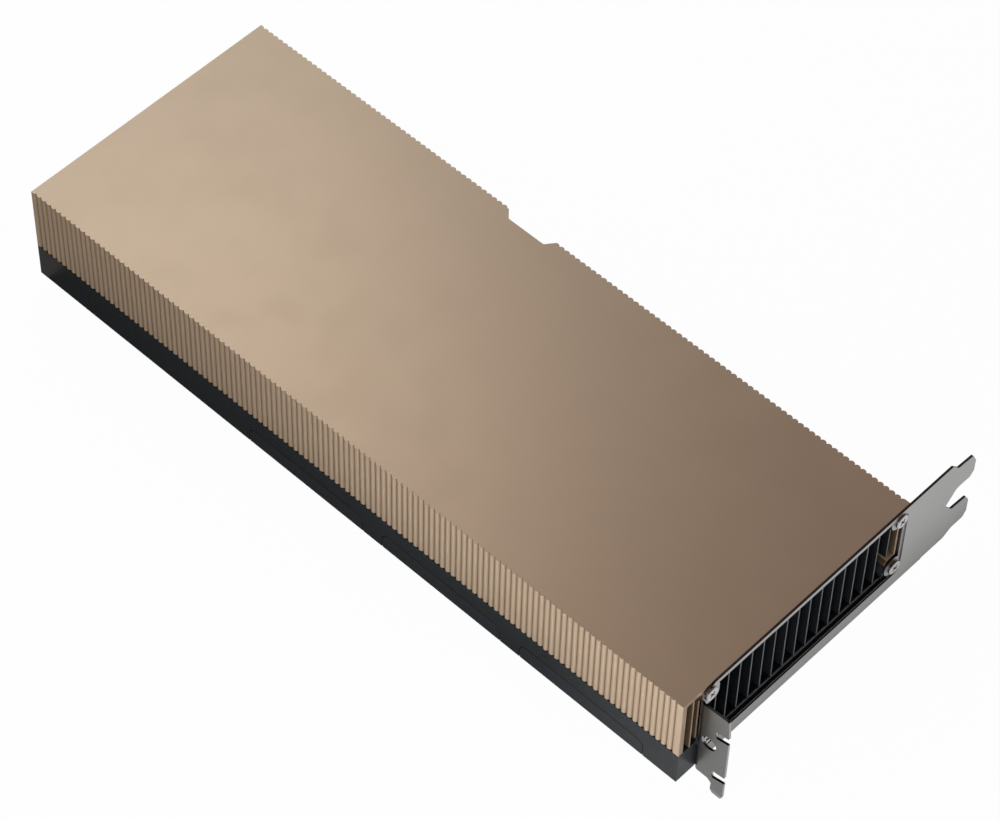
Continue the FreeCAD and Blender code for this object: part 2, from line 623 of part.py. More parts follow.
def make_circuit_board():
    """Circuit board with its slot tongue, key, latch hook, bridge tongues and fixing holes."""
    rear, front = tongue_span()
    key = front - KEY_OFFSET
    chamfer = 1.2
    end = TONGUE_END
    hook_front = rear - HOOK_GAP
    hook_rear = hook_front - HOOK_POST
    hook_end = BOARD_FAR + HOOK_LENGTH
    outline = [(BOARD_REAR, BOARD_NEAR, 1), (BOARD_REAR, BOARD_FAR, 1),
               (hook_rear, BOARD_FAR, 0.5),
               (hook_rear, hook_end - 2.6, 0.3), (hook_rear - HOOK_TOE, hook_end - 2.6, 0.3),
               (hook_rear - HOOK_TOE, hook_end - 0.8, 0), (hook_rear - HOOK_TOE + 0.8, hook_end, 0),
               (hook_front, hook_end, 0.6), (hook_front, BOARD_FAR, 0.5),
               (rear, BOARD_FAR, 0.5), (rear, end - chamfer, 0), (rear + chamfer / 2, end, 0),
               (key - KEY_WIDTH - 0.5, end, 0), (key - KEY_WIDTH, end - 0.5, 0),
               (key - KEY_WIDTH, end - KEY_DEPTH, 0.94), (key, end - KEY_DEPTH, 0.94),
               (key, end - 0.5, 0), (key + 0.5, end, 0),
               (front - chamfer / 2, end, 0), (front, end - chamfer, 0), (front, BOARD_FAR, 0.5),
               (BOARD_FRONT, BOARD_FAR, 1), (BOARD_FRONT, BOARD_NEAR, 1)]
    for centre in reversed(COVER_CENTRES):
        near = centre + BRIDGE_TONGUE / 2
        back = centre - BRIDGE_TONGUE / 2
        outline += [(near, BOARD_NEAR, 0), (near, BRIDGE_TONGUE_END, 0.4),
                    (back, BRIDGE_TONGUE_END, 0.4), (back, BOARD_NEAR, 0)]
    board = sheet(outline, "z", BOARD_BOTTOM, BOARD_TOP)
    bevel = 0.45
    middle = (BOARD_BOTTOM + BOARD_TOP) / 2
    cuts = [sheet(latch_notch(0.0), "z", -1, FRAME_TOP)]
    for level, up in ((BOARD_TOP, 1), (BOARD_BOTTOM, -1)):
        wedge = [(end + 0.5, level + up * 0.5, 0), (end + 0.5, middle + up * (0.3 - bevel * 0.5), 0),
                 (end - 1.3, level, 0), (end - 1.3, level + up * 0.5, 0)]
        cuts.append(sheet(wedge, "x", rear - 0.1, front + 0.1))
    for x in BACK_SCREW_X:
        for y in BACK_SCREW_Y:
            cuts.append(rod((x, y, 0), BACK_SCREW_RADIUS + 0.2, 10.0, (0, 0, 1)))
    for x, y in spring_points():
        cuts.append(rod((x, y, 0), BACK_SCREW_RADIUS + 0.2, 10.0, (0, 0, 1)))
    return board.cut(cuts)


def make_edge_contacts():
    """Gold contact fingers on both faces of the slot tongue."""
    rear, front = tongue_span()
    key = front - KEY_OFFSET
    short = [front - 1.15 - CONTACT_PITCH * index for index in range(11)]
    long = [key - KEY_WIDTH - 0.85 - CONTACT_PITCH * index for index in range(71)]
    fingers = []
    half = CONTACT_WIDTH / 2
    tip = TONGUE_END - 1.4
    for x in short + long:
        for z in (BOARD_TOP, BOARD_BOTTOM - CONTACT_THICKNESS):
            fingers.append(box(x - half, x + half, tip - CONTACT_LENGTH, tip, z, z + CONTACT_THICKNESS))
    return fingers


def make_bridge_contacts():
    """Plated contact band on both faces of each bridge tongue."""
    bands = []
    for centre in COVER_CENTRES:
        for z in (BOARD_TOP, BOARD_BOTTOM - CONTACT_THICKNESS):
            bands.append(box(centre - BRIDGE_TONGUE / 2 + 1, centre + BRIDGE_TONGUE / 2 - 1,
                             BRIDGE_TONGUE_END + 0.4, BOARD_NEAR + 1.6, z, z + CONTACT_THICKNESS))
    return bands


# ---------------------------------------------------------------- package, cooler and power

def spring_points():
    """Axes of the four cooler screws around the package."""
    x, y = PACKAGE
    return [(x + dx * SPRING_REACH, y + dy * SPRING_REACH) for dx in (-1, 1) for dy in (-1, 1)]


def centred(centre, size, z0, z1):
    """Block centred on an (X, Y) point."""
    half_x = size[0] / 2
    half_y = size[1] / 2
    return box(centre[0] - half_x, centre[0] + half_x, centre[1] - half_y, centre[1] + half_y, z0, z1)


def make_stiffener():
    """Metal ring around the edge of the package."""
    outer = centred(PACKAGE, (SUBSTRATE, SUBSTRATE), SUBSTRATE_TOP,
                    SUBSTRATE_TOP + STIFFENER_THICKNESS)
    opening = SUBSTRATE - 2 * STIFFENER_BAND
    return outer.cut(centred(PACKAGE, (opening, opening), 0, SHROUD_TOP))


def make_memory_stacks():
    """Six memory stacks, three along each side of the die."""
    offset = DIE[0] / 2 + STACK_GAP + STACK[0] / 2
    places = [(PACKAGE[0] + side * offset, PACKAGE[1] + row * STACK_PITCH)
              for side in (-1, 1) for row in (-1, 0, 1)]
    return [centred(place, STACK, SUBSTRATE_TOP, DIE_TOP) for place in places]


def fin_levels():
    """Y of each fin's middle plane."""
    return [FIN_FIRST + index * FIN_PITCH for index in range(FIN_COUNT)]


def make_heatsink_base():
    """Cooler base: flat plate, a pedestal over the package and four screw bosses."""
    plate = [box(COOLER_REAR, COOLER_FRONT, BASE_NEAR, BASE_FAR, BASE_BOTTOM, BASE_TOP),
             centred(PACKAGE, PEDESTAL, DIE_TOP, BASE_BOTTOM)]
    for x, y in spring_points():
        plate.append(rod((x, y, BOARD_TOP), COOLER_BOSS_RADIUS, BASE_BOTTOM - BOARD_TOP, (0, 0, 1)))
    base = join(plate)
    cuts = []
    start = FRAME_BOSS_REAR - FIN_GAP
    half = FRAME_BOSS_RADIUS + FIN_GAP
    for y, _ in screw_points((SCREW_LOW,)):
        cuts.append(box(start, COOLER_FRONT + 1, y - half, y + half, 0, SHROUD_TOP))
    for x, y in spring_points():
        cuts.append(rod((x, y, 0), BACK_SCREW_RADIUS, BASE_BOTTOM + 0.6, (0, 0, 1)))
    return base.cut(cuts)


def fin_outline(y):
    """Section of one folded fin in (Y, Z): an upright blade with a foot along the base."""
    near = y - FIN_THICKNESS / 2
    far = y + FIN_THICKNESS / 2
    foot = min(near + FIN_PITCH - FIN_GAP, BASE_FAR)
    step = BASE_TOP + FIN_THICKNESS
    inside = FIN_BEND - FIN_THICKNESS
    if foot - far < FIN_BEND:
        return rectangle(near, far, BASE_TOP, FIN_TOP)
    return [(near, BASE_TOP, FIN_BEND), (foot, BASE_TOP, 0), (foot, step, 0), (far, step, inside),
            (far, FIN_TOP, 0), (near, FIN_TOP, 0)]


def make_fins():
    """Sixteen folded fins on the base, the outer ones relieved around the bracket bosses."""
    fins = []
    for y in fin_levels():
        fin = sheet(fin_outline(y), "x", COOLER_REAR, COOLER_FRONT)
        if y > BASE_FAR - FIN_PITCH * 2:
            low_relief = SCREW_LOW + LIP_INNER + 2 * DUCT_WALL
            high_relief = SCREW_HIGH - SHROUD_BOSS_RADIUS - FIN_GAP
            edge = SCREW_FAR - LIP_INNER - DUCT_WALL - FIN_GAP
            fin = fin.cut([box(FIN_LOW_CUT_REAR, COOLER_FRONT + 1, edge, BASE_FAR, 0, low_relief),
                           box(FIN_HIGH_CUT_REAR, COOLER_FRONT + 1, edge, BASE_FAR,
                               high_relief, SHROUD_TOP)])
        fins.append(fin)
    return fins


def make_spring_plate():
    """X-shaped leaf spring behind the board that pulls the cooler onto the package."""
    half = SPRING_WIDTH / 2
    reach = SPRING_REACH * math.sqrt(2)
    x, y = PACKAGE
    arms = []
    for turn in (45, -45):
        arm = box(-reach, reach, -half, half, BOARD_BOTTOM - SPRING_THICKNESS, BOARD_BOTTOM)
        arm.rotate(Vector(0, 0, 0), Vector(0, 0, 1), turn)
        arm.translate(Vector(x, y, 0))
        arms.append(arm)
    ends = [rod((px, py, BOARD_BOTTOM - SPRING_THICKNESS), half, SPRING_THICKNESS, (0, 0, 1))
            for px, py in spring_points()]
    plate = join(arms + ends)
    holes = [rod((px, py, 0), BACK_SCREW_RADIUS + 0.2, 10.0, (0, 0, 1)) for px, py in spring_points()]
    return plate.cut(holes)


def make_cooler_screws():
    """Screws from the leaf spring into the cooler base."""
    seat = BOARD_BOTTOM - SPRING_THICKNESS
    radius, height = COOLER_SCREW_HEAD
    return [join([rod((x, y, seat - height), radius, height, (0, 0, 1)),
                  rod((x, y, seat), BACK_SCREW_RADIUS, BASE_BOTTOM + 0.3 - seat, (0, 0, 1))])
            for x, y in spring_points()]


def bank_rows():
    """Y of the converter phases in each bank."""
    return [PHASE_FIRST + PHASE_PITCH * index for index in range(PHASES)]


def make_inductors():
    """Converter inductors in two banks beside the package."""
    return [centred((x, y), INDUCTOR, BOARD_TOP, BOARD_TOP + INDUCTOR_HEIGHT)
            for x in INDUCTOR_X for y in bank_rows()]


def make_power_stages():
    """Power stages between each inductor bank and the package."""
    return [centred((x, y), STAGE, BOARD_TOP, BOARD_TOP + STAGE_HEIGHT)
            for x in STAGE_X for y in bank_rows()]


def make_thermal_pads():
    """Pads that carry the converters' heat to the cooler base."""
    rows = bank_rows()
    middle = (rows[0] + rows[-1]) / 2
    span = rows[-1] - rows[0] + INDUCTOR[1]
    pads = [centred((x, middle), (INDUCTOR_PAD_WIDTH, span), BOARD_TOP + INDUCTOR_HEIGHT, BASE_BOTTOM)
            for x in INDUCTOR_X]
    pads += [centred((x, middle), (STAGE_PAD_WIDTH, span), BOARD_TOP + STAGE_HEIGHT, BASE_BOTTOM)
             for x in STAGE_X]
    return pads


def make_capacitors():
    """Moulded chip capacitors near the power socket and at the front of the board."""
    return [centred((x, y), CAPACITOR, BOARD_TOP, BOARD_TOP + CAPACITOR_HEIGHT)
            for x in CAPACITOR_X for y in CAPACITOR_Y]


def make_power_socket():
    """Sixteen-way power socket: a box open to the rear."""
    low = BOARD_TOP
    high = BOARD_TOP + SOCKET_HEIGHT
    half = SOCKET_WIDTH / 2
    outside = rectangle(SOCKET_CENTRE - half, SOCKET_CENTRE + half, low, high, 0.6)
    body = sheet(outside, "x", SOCKET_REAR, SOCKET_FRONT)
    inside = half - SOCKET_WALL
    opening = rectangle(SOCKET_CENTRE - inside, SOCKET_CENTRE + inside, low + SOCKET_FLOOR,
                        high - SOCKET_FLOOR, 0.4)
    mouth = sheet(opening, "x", SOCKET_REAR - 1, SOCKET_FRONT - SOCKET_BACK)
    return body.cut(mouth)


def make_power_pins():
    """Twelve power blades in two rows and four small sense pins."""
    back = SOCKET_FRONT - SOCKET_BACK
    half_y, half_z = PIN_HALF
    pins = []
    for level in PIN_LEVELS:
        z = BOARD_TOP + level
        for column in range(PIN_COLUMNS):
            y = SOCKET_CENTRE + (column - (PIN_COLUMNS - 1) / 2) * PIN_PITCH
            pins.append(box(PIN_REAR, back, y - half_y, y + half_y, z - half_z, z + half_z))
    low, high = SENSE_LEVELS
    for column in range(4):
        y = SOCKET_CENTRE + (column - 1.5) * SENSE_PITCH
        pins.append(box(PIN_REAR, back, y - SENSE_HALF, y + SENSE_HALF, BOARD_TOP + low, BOARD_TOP + high))
    return pins


# ---------------------------------------------------------------- fasteners

def make_backplate_screws():
    """Countersunk screws through back plate and board into the frame."""
    screws = []
    depth = BACK_SCREW_HEAD - BACK_SCREW_RADIUS
    for x in BACK_SCREW_X:
        for y in BACK_SCREW_Y:
            head = Part.makeCone(BACK_SCREW_HEAD, BACK_SCREW_RADIUS, depth, Vector(x, y, 0))
            shank = rod((x, y, depth), BACK_SCREW_RADIUS, BACK_SCREW_TIP - depth, (0, 0, 1))
            screws.append(join([head, shank]))
    return screws


def make_shroud_screws():
    """Short screws up through the frame's flanges into the shroud."""
    seat = FRAME_TOP - FLANGE_THICKNESS
    height = SHROUD_SCREW_HEAD_HEIGHT
    return [join([rod((x, y, seat - height), SHROUD_SCREW_HEAD, height, (0, 0, 1)),
                  rod((x, y, seat), SHROUD_SCREW_RADIUS, SHROUD_SCREW_LENGTH, (0, 0, 1))])
            for x in SHROUD_SCREW_X for y in (SHROUD_SCREW_INSET, BODY_WIDTH - SHROUD_SCREW_INSET)]


def main():
    """Write every node of the card."""
    os.makedirs("parts", exist_ok=True)
    write("shroud", make_shroud())
    write("base_frame", make_base_frame())
    write("backplate", make_backplate())
    for number, centre in enumerate(COVER_CENTRES, start=1):
        write("bridge_cover_%d" % number, make_cover(centre))
    write("bracket", make_bracket())
    write_group("bracket_screws", make_bracket_screws())
    write("circuit_board", make_circuit_board())
    write_group("edge_contacts", make_edge_contacts())
    write_group("bridge_contacts", make_bridge_contacts())
    write("processor_substrate", centred(PACKAGE, (SUBSTRATE, SUBSTRATE), BOARD_TOP, SUBSTRATE_TOP))
    write("package_stiffener", make_stiffener())
    write("processor_die", centred(PACKAGE, DIE, SUBSTRATE_TOP, DIE_TOP))
    write_group("memory_stacks", make_memory_stacks())
    write("heatsink_base", make_heatsink_base())
    write_group("heatsink_fins", make_fins())
    write("spring_plate", make_spring_plate())
    write_group("cooler_screws", make_cooler_screws())
    write_group("inductors", make_inductors())
    write_group("power_stages", make_power_stages())
    write_group("thermal_pads", make_thermal_pads())
    write_group("capacitors", make_capacitors())
    write("power_socket", make_power_socket())
    write_group("power_pins", make_power_pins())
    write_group("backplate_screws", make_backplate_screws())
    write_group("shroud_screws", make_shroud_screws())


main()
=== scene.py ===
"""Studio scene of a passive accelerator card: reeded gold shroud, black frame, steel slot bracket.

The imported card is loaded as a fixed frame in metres. Each sub-assembly class rounds the edges of its
nodes as new meshes, adds the small parts that the plain solids leave out, and dresses every surface.
"""

from __future__ import annotations

import logging
import math
from contextlib import contextmanager
from dataclasses import dataclass, field
from enum import Enum
from typing import Callable, Iterator

import bpy
from mathutils import Euler, Matrix, Vector

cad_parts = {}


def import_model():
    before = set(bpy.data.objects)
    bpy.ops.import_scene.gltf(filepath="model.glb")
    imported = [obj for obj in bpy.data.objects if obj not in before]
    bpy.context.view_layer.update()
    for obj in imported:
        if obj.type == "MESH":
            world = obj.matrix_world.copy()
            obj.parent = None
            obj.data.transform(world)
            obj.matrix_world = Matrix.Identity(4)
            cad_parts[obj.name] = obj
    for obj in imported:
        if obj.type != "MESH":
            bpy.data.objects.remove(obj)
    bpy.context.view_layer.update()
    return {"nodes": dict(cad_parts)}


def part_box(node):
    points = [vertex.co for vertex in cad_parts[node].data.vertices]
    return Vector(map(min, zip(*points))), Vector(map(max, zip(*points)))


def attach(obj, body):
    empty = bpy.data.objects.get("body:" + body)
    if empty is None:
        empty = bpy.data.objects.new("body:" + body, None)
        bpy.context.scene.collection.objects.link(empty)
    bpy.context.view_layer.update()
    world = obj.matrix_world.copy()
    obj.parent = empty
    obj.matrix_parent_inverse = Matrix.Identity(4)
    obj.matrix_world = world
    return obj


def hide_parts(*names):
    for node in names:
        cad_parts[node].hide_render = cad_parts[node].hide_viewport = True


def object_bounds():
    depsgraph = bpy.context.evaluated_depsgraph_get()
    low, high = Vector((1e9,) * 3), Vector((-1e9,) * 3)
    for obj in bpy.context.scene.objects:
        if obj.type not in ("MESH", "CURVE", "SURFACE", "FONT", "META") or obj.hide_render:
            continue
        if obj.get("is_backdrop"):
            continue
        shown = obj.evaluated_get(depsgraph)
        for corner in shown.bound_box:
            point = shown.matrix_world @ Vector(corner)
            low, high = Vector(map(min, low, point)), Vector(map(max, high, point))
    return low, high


LOG = logging.getLogger("card")
MM = 0.001
SLACK = 0.02 * MM
MERGE_DISTANCE = 0.002 * MM
MERGE_ANGLE = 0.6
FACING = 0.9
EDGE_STEPS = 2
BOX_DIGITS = 5
BODY = "root"
Colour = tuple[float, float, float]
EdgeTest = Callable[[Vector, Vector], bool]
WHITE: Colour = (1.0, 1.0, 1.0)


class Axis(Enum):
    """A direction of the card's own frame."""

    X = 0
    Y = 1
    Z = 2


class Drive(Enum):
    """Recess in a screw's head."""

    CROSS = "cross"
    SIX_LOBE = "six_lobe"


class Element(Enum):
    """What an edit of a mesh picks."""

    POINT = "VERT"
    EDGE = "EDGE"
    FACE = "FACE"


class Change(Enum):
    """What a Boolean does with the other piece."""

    CUT = "DIFFERENCE"
    FUSE = "UNION"


# ---------------------------------------------------------------- mesh work


def only(piece: bpy.types.Object) -> None:
    """Make one object the only selected and active one."""
    bpy.ops.object.select_all(action="DESELECT")
    piece.select_set(True)
    bpy.context.view_layer.objects.active = piece


def apply_place(piece: bpy.types.Object) -> None:
    """Move a piece's place, turn and scale into its mesh."""
    only(piece)
    bpy.ops.object.transform_apply(location=True, rotation=True, scale=True)


@contextmanager
def editing(piece: bpy.types.Object) -> Iterator[None]:
    """Open a piece's mesh for editing, and close it again."""
    only(piece)
    bpy.ops.object.mode_set(mode="EDIT")
    yield
    bpy.ops.object.mode_set(mode="OBJECT")


def start_picking(kind: Element) -> None:
    """Let the open mesh pick one kind of element, with nothing picked yet."""
    bpy.ops.mesh.select_mode(type=kind.value)
    bpy.ops.mesh.select_all(action="DESELECT")


def pick(piece: bpy.types.Object, kind: Element, chosen: Callable[[object], bool]) -> None:
    """Select the points or faces that a test picks, and no others.

    Args:
        piece: mesh object to work on.
        kind: points or faces.
        chosen: test on a point or a face.
    """
    with editing(piece):
        start_picking(kind)
    for item in piece.data.vertices if kind is Element.POINT else piece.data.polygons:
        item.select = chosen(item)


def shift_points(piece: bpy.types.Object, move: Vector, chosen: Callable[[Vector], bool]) -> None:
    """Move the points that a test picks.

    Args:
        piece: mesh object to work on.
        move: how far they move.
        chosen: test on a point's place.
    """
    pick(piece, Element.POINT, lambda point: chosen(point.co))
    with editing(piece):
        bpy.ops.transform.translate(value=move)


def below(axis: Axis, level: float) -> EdgeTest:
    """Test for edges that lie wholly below a level on an axis."""
    return lambda first, last: max(first[axis.value], last[axis.value]) < level


def above(axis: Axis, level: float) -> EdgeTest:
    """Test for edges that lie wholly above a level on an axis."""
    return lambda first, last: min(first[axis.value], last[axis.value]) > level


def upright(height: float) -> EdgeTest:
    """Test for edges that rise by more than a height."""
    return lambda first, last: abs(first.z - last.z) > height


def any_of(*tests: EdgeTest) -> EdgeTest:
    """Test for edges that pass at least one of several tests."""
    return lambda first, last: any(test(first, last) for test in tests)


def every_edge(first: Vector, last: Vector) -> bool:
    """Test that every edge passes."""
    return True


def bevel_where(piece: bpy.types.Object, width: float, chosen: EdgeTest, steps: int = EDGE_STEPS,
                sharper_than: float = 50.0) -> None:
    """Round the sharp edges that a test picks.

    Args:
        piece: mesh object to work on.
        width: width of the rounding in metres.
        chosen: test on an edge's two ends.
        steps: number of faces across the rounding.
        sharper_than: least angle between the edge's faces, in degrees.
    """
    with editing(piece):
        start_picking(Element.EDGE)
        bpy.ops.mesh.edges_select_sharp(sharpness=math.radians(sharper_than))
    mesh = piece.data
    for edge in mesh.edges:
        first, last = (mesh.vertices[number].co for number in edge.vertices)
        edge.select = edge.select and chosen(first, last)
    for item in (*mesh.vertices, *mesh.polygons):
        item.select = False
    with editing(piece):
        bpy.ops.mesh.bevel(offset=width, segments=steps, profile=0.5, affect="EDGES", clamp_overlap=True)


def smooth(piece: bpy.types.Object, angle: float = 36.0) -> None:
    """Shade a piece smooth, with its flat faces kept flat.

    Args:
        piece: mesh object to work on.
        angle: greatest angle, in degrees, that is still shaded smooth.
    """
    only(piece)
    bpy.ops.object.shade_smooth_by_angle(angle=math.radians(angle))
    weighted = piece.modifiers.new("weighted_normals", "WEIGHTED_NORMAL")
    weighted.keep_sharp = True
    bpy.ops.object.modifier_apply(modifier=weighted.name)


def combine(piece: bpy.types.Object, other: bpy.types.Object, change: Change) -> None:
    """Cut another piece out of a piece, or fuse it in; the other one is then removed.

    Args:
        piece: the piece that stays.
        other: the piece that is used up.
        change: cut or fuse.
    """
    only(piece)
    modifier = piece.modifiers.new("combine", "BOOLEAN")
    modifier.operation = change.value
    modifier.solver = "EXACT"
    modifier.object = other
    bpy.ops.object.modifier_apply(modifier=modifier.name)
    bpy.data.objects.remove(other)


def block(low: Vector, high: Vector, name: str) -> bpy.types.Object:
    """Start a piece as a block between two corners.

    Args:
        low: its lowest corner.
        high: its highest corner.
        name: its name.

    Returns:
        The block.
    """
    bpy.ops.object.select_all(action="DESELECT")
    bpy.ops.mesh.primitive_cube_add(size=1.0, location=(low + high) / 2)
    piece = bpy.context.active_object
    piece.name = name
    piece.scale = high - low
    apply_place(piece)
    return piece


def join_pieces(pieces: list[bpy.types.Object], name: str) -> bpy.types.Object:
    """Join several mesh objects into one.

    Args:
        pieces: the objects to join; the first one stays.
        name: name of the joined piece.

    Returns:
        The joined object.
    """
    bpy.ops.object.select_all(action="DESELECT")
    for piece in pieces:
        piece.select_set(True)
    bpy.context.view_layer.objects.active = pieces[0]
    bpy.ops.object.join()
    pieces[0].name = name
    pieces[0].data.name = name
    return pieces[0]


def copy_piece(piece: bpy.types.Object, shift: Vector) -> bpy.types.Object:
    """Copy a piece with its own mesh, moved by a distance.

    Args:
        piece: the modelled piece.
        shift: how far the copy stands from it.

    Returns:
        The copy, with its place in its mesh.
    """
    copy = piece.copy()
    copy.data = piece.data.copy()
    bpy.context.scene.collection.objects.link(copy)
    copy.data.transform(Matrix.Translation(shift))
    return copy


def merged_copy(node: bpy.types.Object, name: str) -> bpy.types.Object:
    """Copy a node's mesh as a new piece, with its loose triangles joined into whole faces.

    Args:
        node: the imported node.
        name: name of the new piece.

    Returns:
        The new piece, at the origin, with no material.
    """
    piece = bpy.data.objects.new(name, node.data.copy())
    piece.data.name = name
    bpy.context.scene.collection.objects.link(piece)
    piece.data.materials.clear()
    only(piece)
    bpy.ops.mesh.customdata_custom_splitnormals_clear()
    with editing(piece):
        bpy.ops.mesh.select_all(action="SELECT")
        bpy.ops.mesh.remove_doubles(threshold=MERGE_DISTANCE)
        bpy.ops.mesh.dissolve_limited(angle_limit=math.radians(MERGE_ANGLE), use_dissolve_boundaries=False)
    return piece


def solid_boxes(node: bpy.types.Object) -> list[tuple[Vector, Vector]]:
    """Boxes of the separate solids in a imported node, in order of X, then Y, then Z.

    Args:
        node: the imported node.

    Returns:
        Lowest and highest corner of each solid.
    """
    with editing(merged_copy(node, node.name + "_parts")):
        bpy.ops.mesh.separate(type="LOOSE")
    boxes = []
    for part in list(bpy.context.selected_objects):
        points = [vertex.co for vertex in part.data.vertices]
        low, high = (Vector([end(point[axis.value] for point in points) for axis in Axis])
                     for end in (min, max))
        boxes.append((low, high))
        bpy.data.objects.remove(part)
    return sorted(boxes, key=lambda pair: tuple(round(value, BOX_DIGITS) for value in pair[0]))


# ---------------------------------------------------------------- shader work


class Wiring:
    """Adds and joins the nodes of one shader tree."""

    def __init__(self, tree: bpy.types.NodeTree) -> None:
        """Keep the tree that is being wired."""
        self.tree = tree

    @classmethod
    def fresh(cls, owner: bpy.types.Material | bpy.types.World) -> Wiring:
        """Wire a material or a world from nothing.

        Args:
            owner: the material or the world.

        Returns:
            The wiring of its empty tree.
        """
        owner.use_nodes = True
        owner.node_tree.nodes.clear()
        return cls(owner.node_tree)

    def add(self, kind: str, **settings: object) -> bpy.types.Node:
        """Add a node.

        Args:
            kind: the node's type name without its ShaderNode prefix.
            settings: attributes to set on it.

        Returns:
            The new node.
        """
        node = self.tree.nodes.new("ShaderNode" + kind)
        for key, value in settings.items():
            setattr(node, key, value)
        return node

    def join(self, source: bpy.types.NodeSocket, target: bpy.types.NodeSocket) -> None:
        """Link an output to an input."""
        self.tree.links.new(source, target)

    def math(self, operation: str, first: object, second: object = 0.0) -> bpy.types.NodeSocket:
        """Add a Math node.

        Args:
            operation: name of the operation.
            first: a number or an output.
            second: a number or an output.

        Returns:
            The result's socket.
        """
        node = self.add("Math", operation=operation)
        for socket, value in zip(node.inputs, (first, second)):
            if isinstance(value, (int, float)):
                socket.default_value = value
            else:
                self.join(value, socket)
        return node.outputs[0]

    def remap(self, value: bpy.types.NodeSocket, low: float, high: float, to_low: float = 0.0,
              to_high: float = 1.0) -> bpy.types.NodeSocket:
        """Map a value from one range to another, held at its ends.

        Args:
            value: the input.
            low: start of the input's range.
            high: end of the input's range.
            to_low: result at the start.
            to_high: result at the end.

        Returns:
            The result's socket.
        """
        node = self.add("MapRange")
        self.join(value, node.inputs["Value"])
        for name, number in (("From Min", low), ("From Max", high), ("To Min", to_low), ("To Max", to_high)):
            node.inputs[name].default_value = number
        return node.outputs[0]

    def mix(self, factor: bpy.types.NodeSocket, first: object, second: object) -> bpy.types.NodeSocket:
        """Mix two colours, each a colour or an output.

        Args:
            factor: share of the second colour.
            first: colour at 0.
            second: colour at 1.

        Returns:
            The mixed colour's socket.
        """
        node = self.add("Mix", data_type="RGBA")
        self.join(factor, node.inputs["Factor"])
        for name, value in (("A", first), ("B", second)):
            socket = [item for item in node.inputs if item.name == name and item.type == "RGBA"][0]
            if isinstance(value, tuple):
                socket.default_value = (*value, 1.0)
            else:
                self.join(value, socket)
        return [item for item in node.outputs if item.type == "RGBA"][0]

    def place(self, scale: Colour = (1.0, 1.0, 1.0), turn: Colour = (0.0, 0.0, 0.0)) -> bpy.types.NodeSocket:
        """Object coordinates, stretched and turned.

        Args:
            scale: stretch along each axis.
            turn: turn about each axis in degrees.

        Returns:
            The coordinates' socket.
        """
        coordinates = self.add("TexCoord")
        mapping = self.add("Mapping")
        mapping.inputs["Scale"].default_value = scale
        mapping.inputs["Rotation"].default_value = tuple(math.radians(angle) for angle in turn)
        self.join(coordinates.outputs["Object"], mapping.inputs["Vector"])
        return mapping.outputs["Vector"]

    def axes(self, vector: bpy.types.NodeSocket) -> dict[Axis, bpy.types.NodeSocket]:
        """Split a vector into its values along the axes.

        Args:
            vector: the vector's socket.

        Returns:
            The value's socket for each axis.
        """
        parts = self.add("SeparateXYZ")
        self.join(vector, parts.inputs["Vector"])
        return {axis: parts.outputs[axis.name] for axis in Axis}


@dataclass(frozen=True)
class Noise:
    """One size of noise inside a group."""

    detail: float
    roughness: float = 0.5
    finer: float = 1.0


@dataclass(frozen=True)
class Layers:
    """Group of two sizes of noise that make a height and a tone."""

    name: str
    scale: float
    share_name: str
    share: float
    fine: Noise
    coarse: Noise
    tone_from: float
    tone_to: float


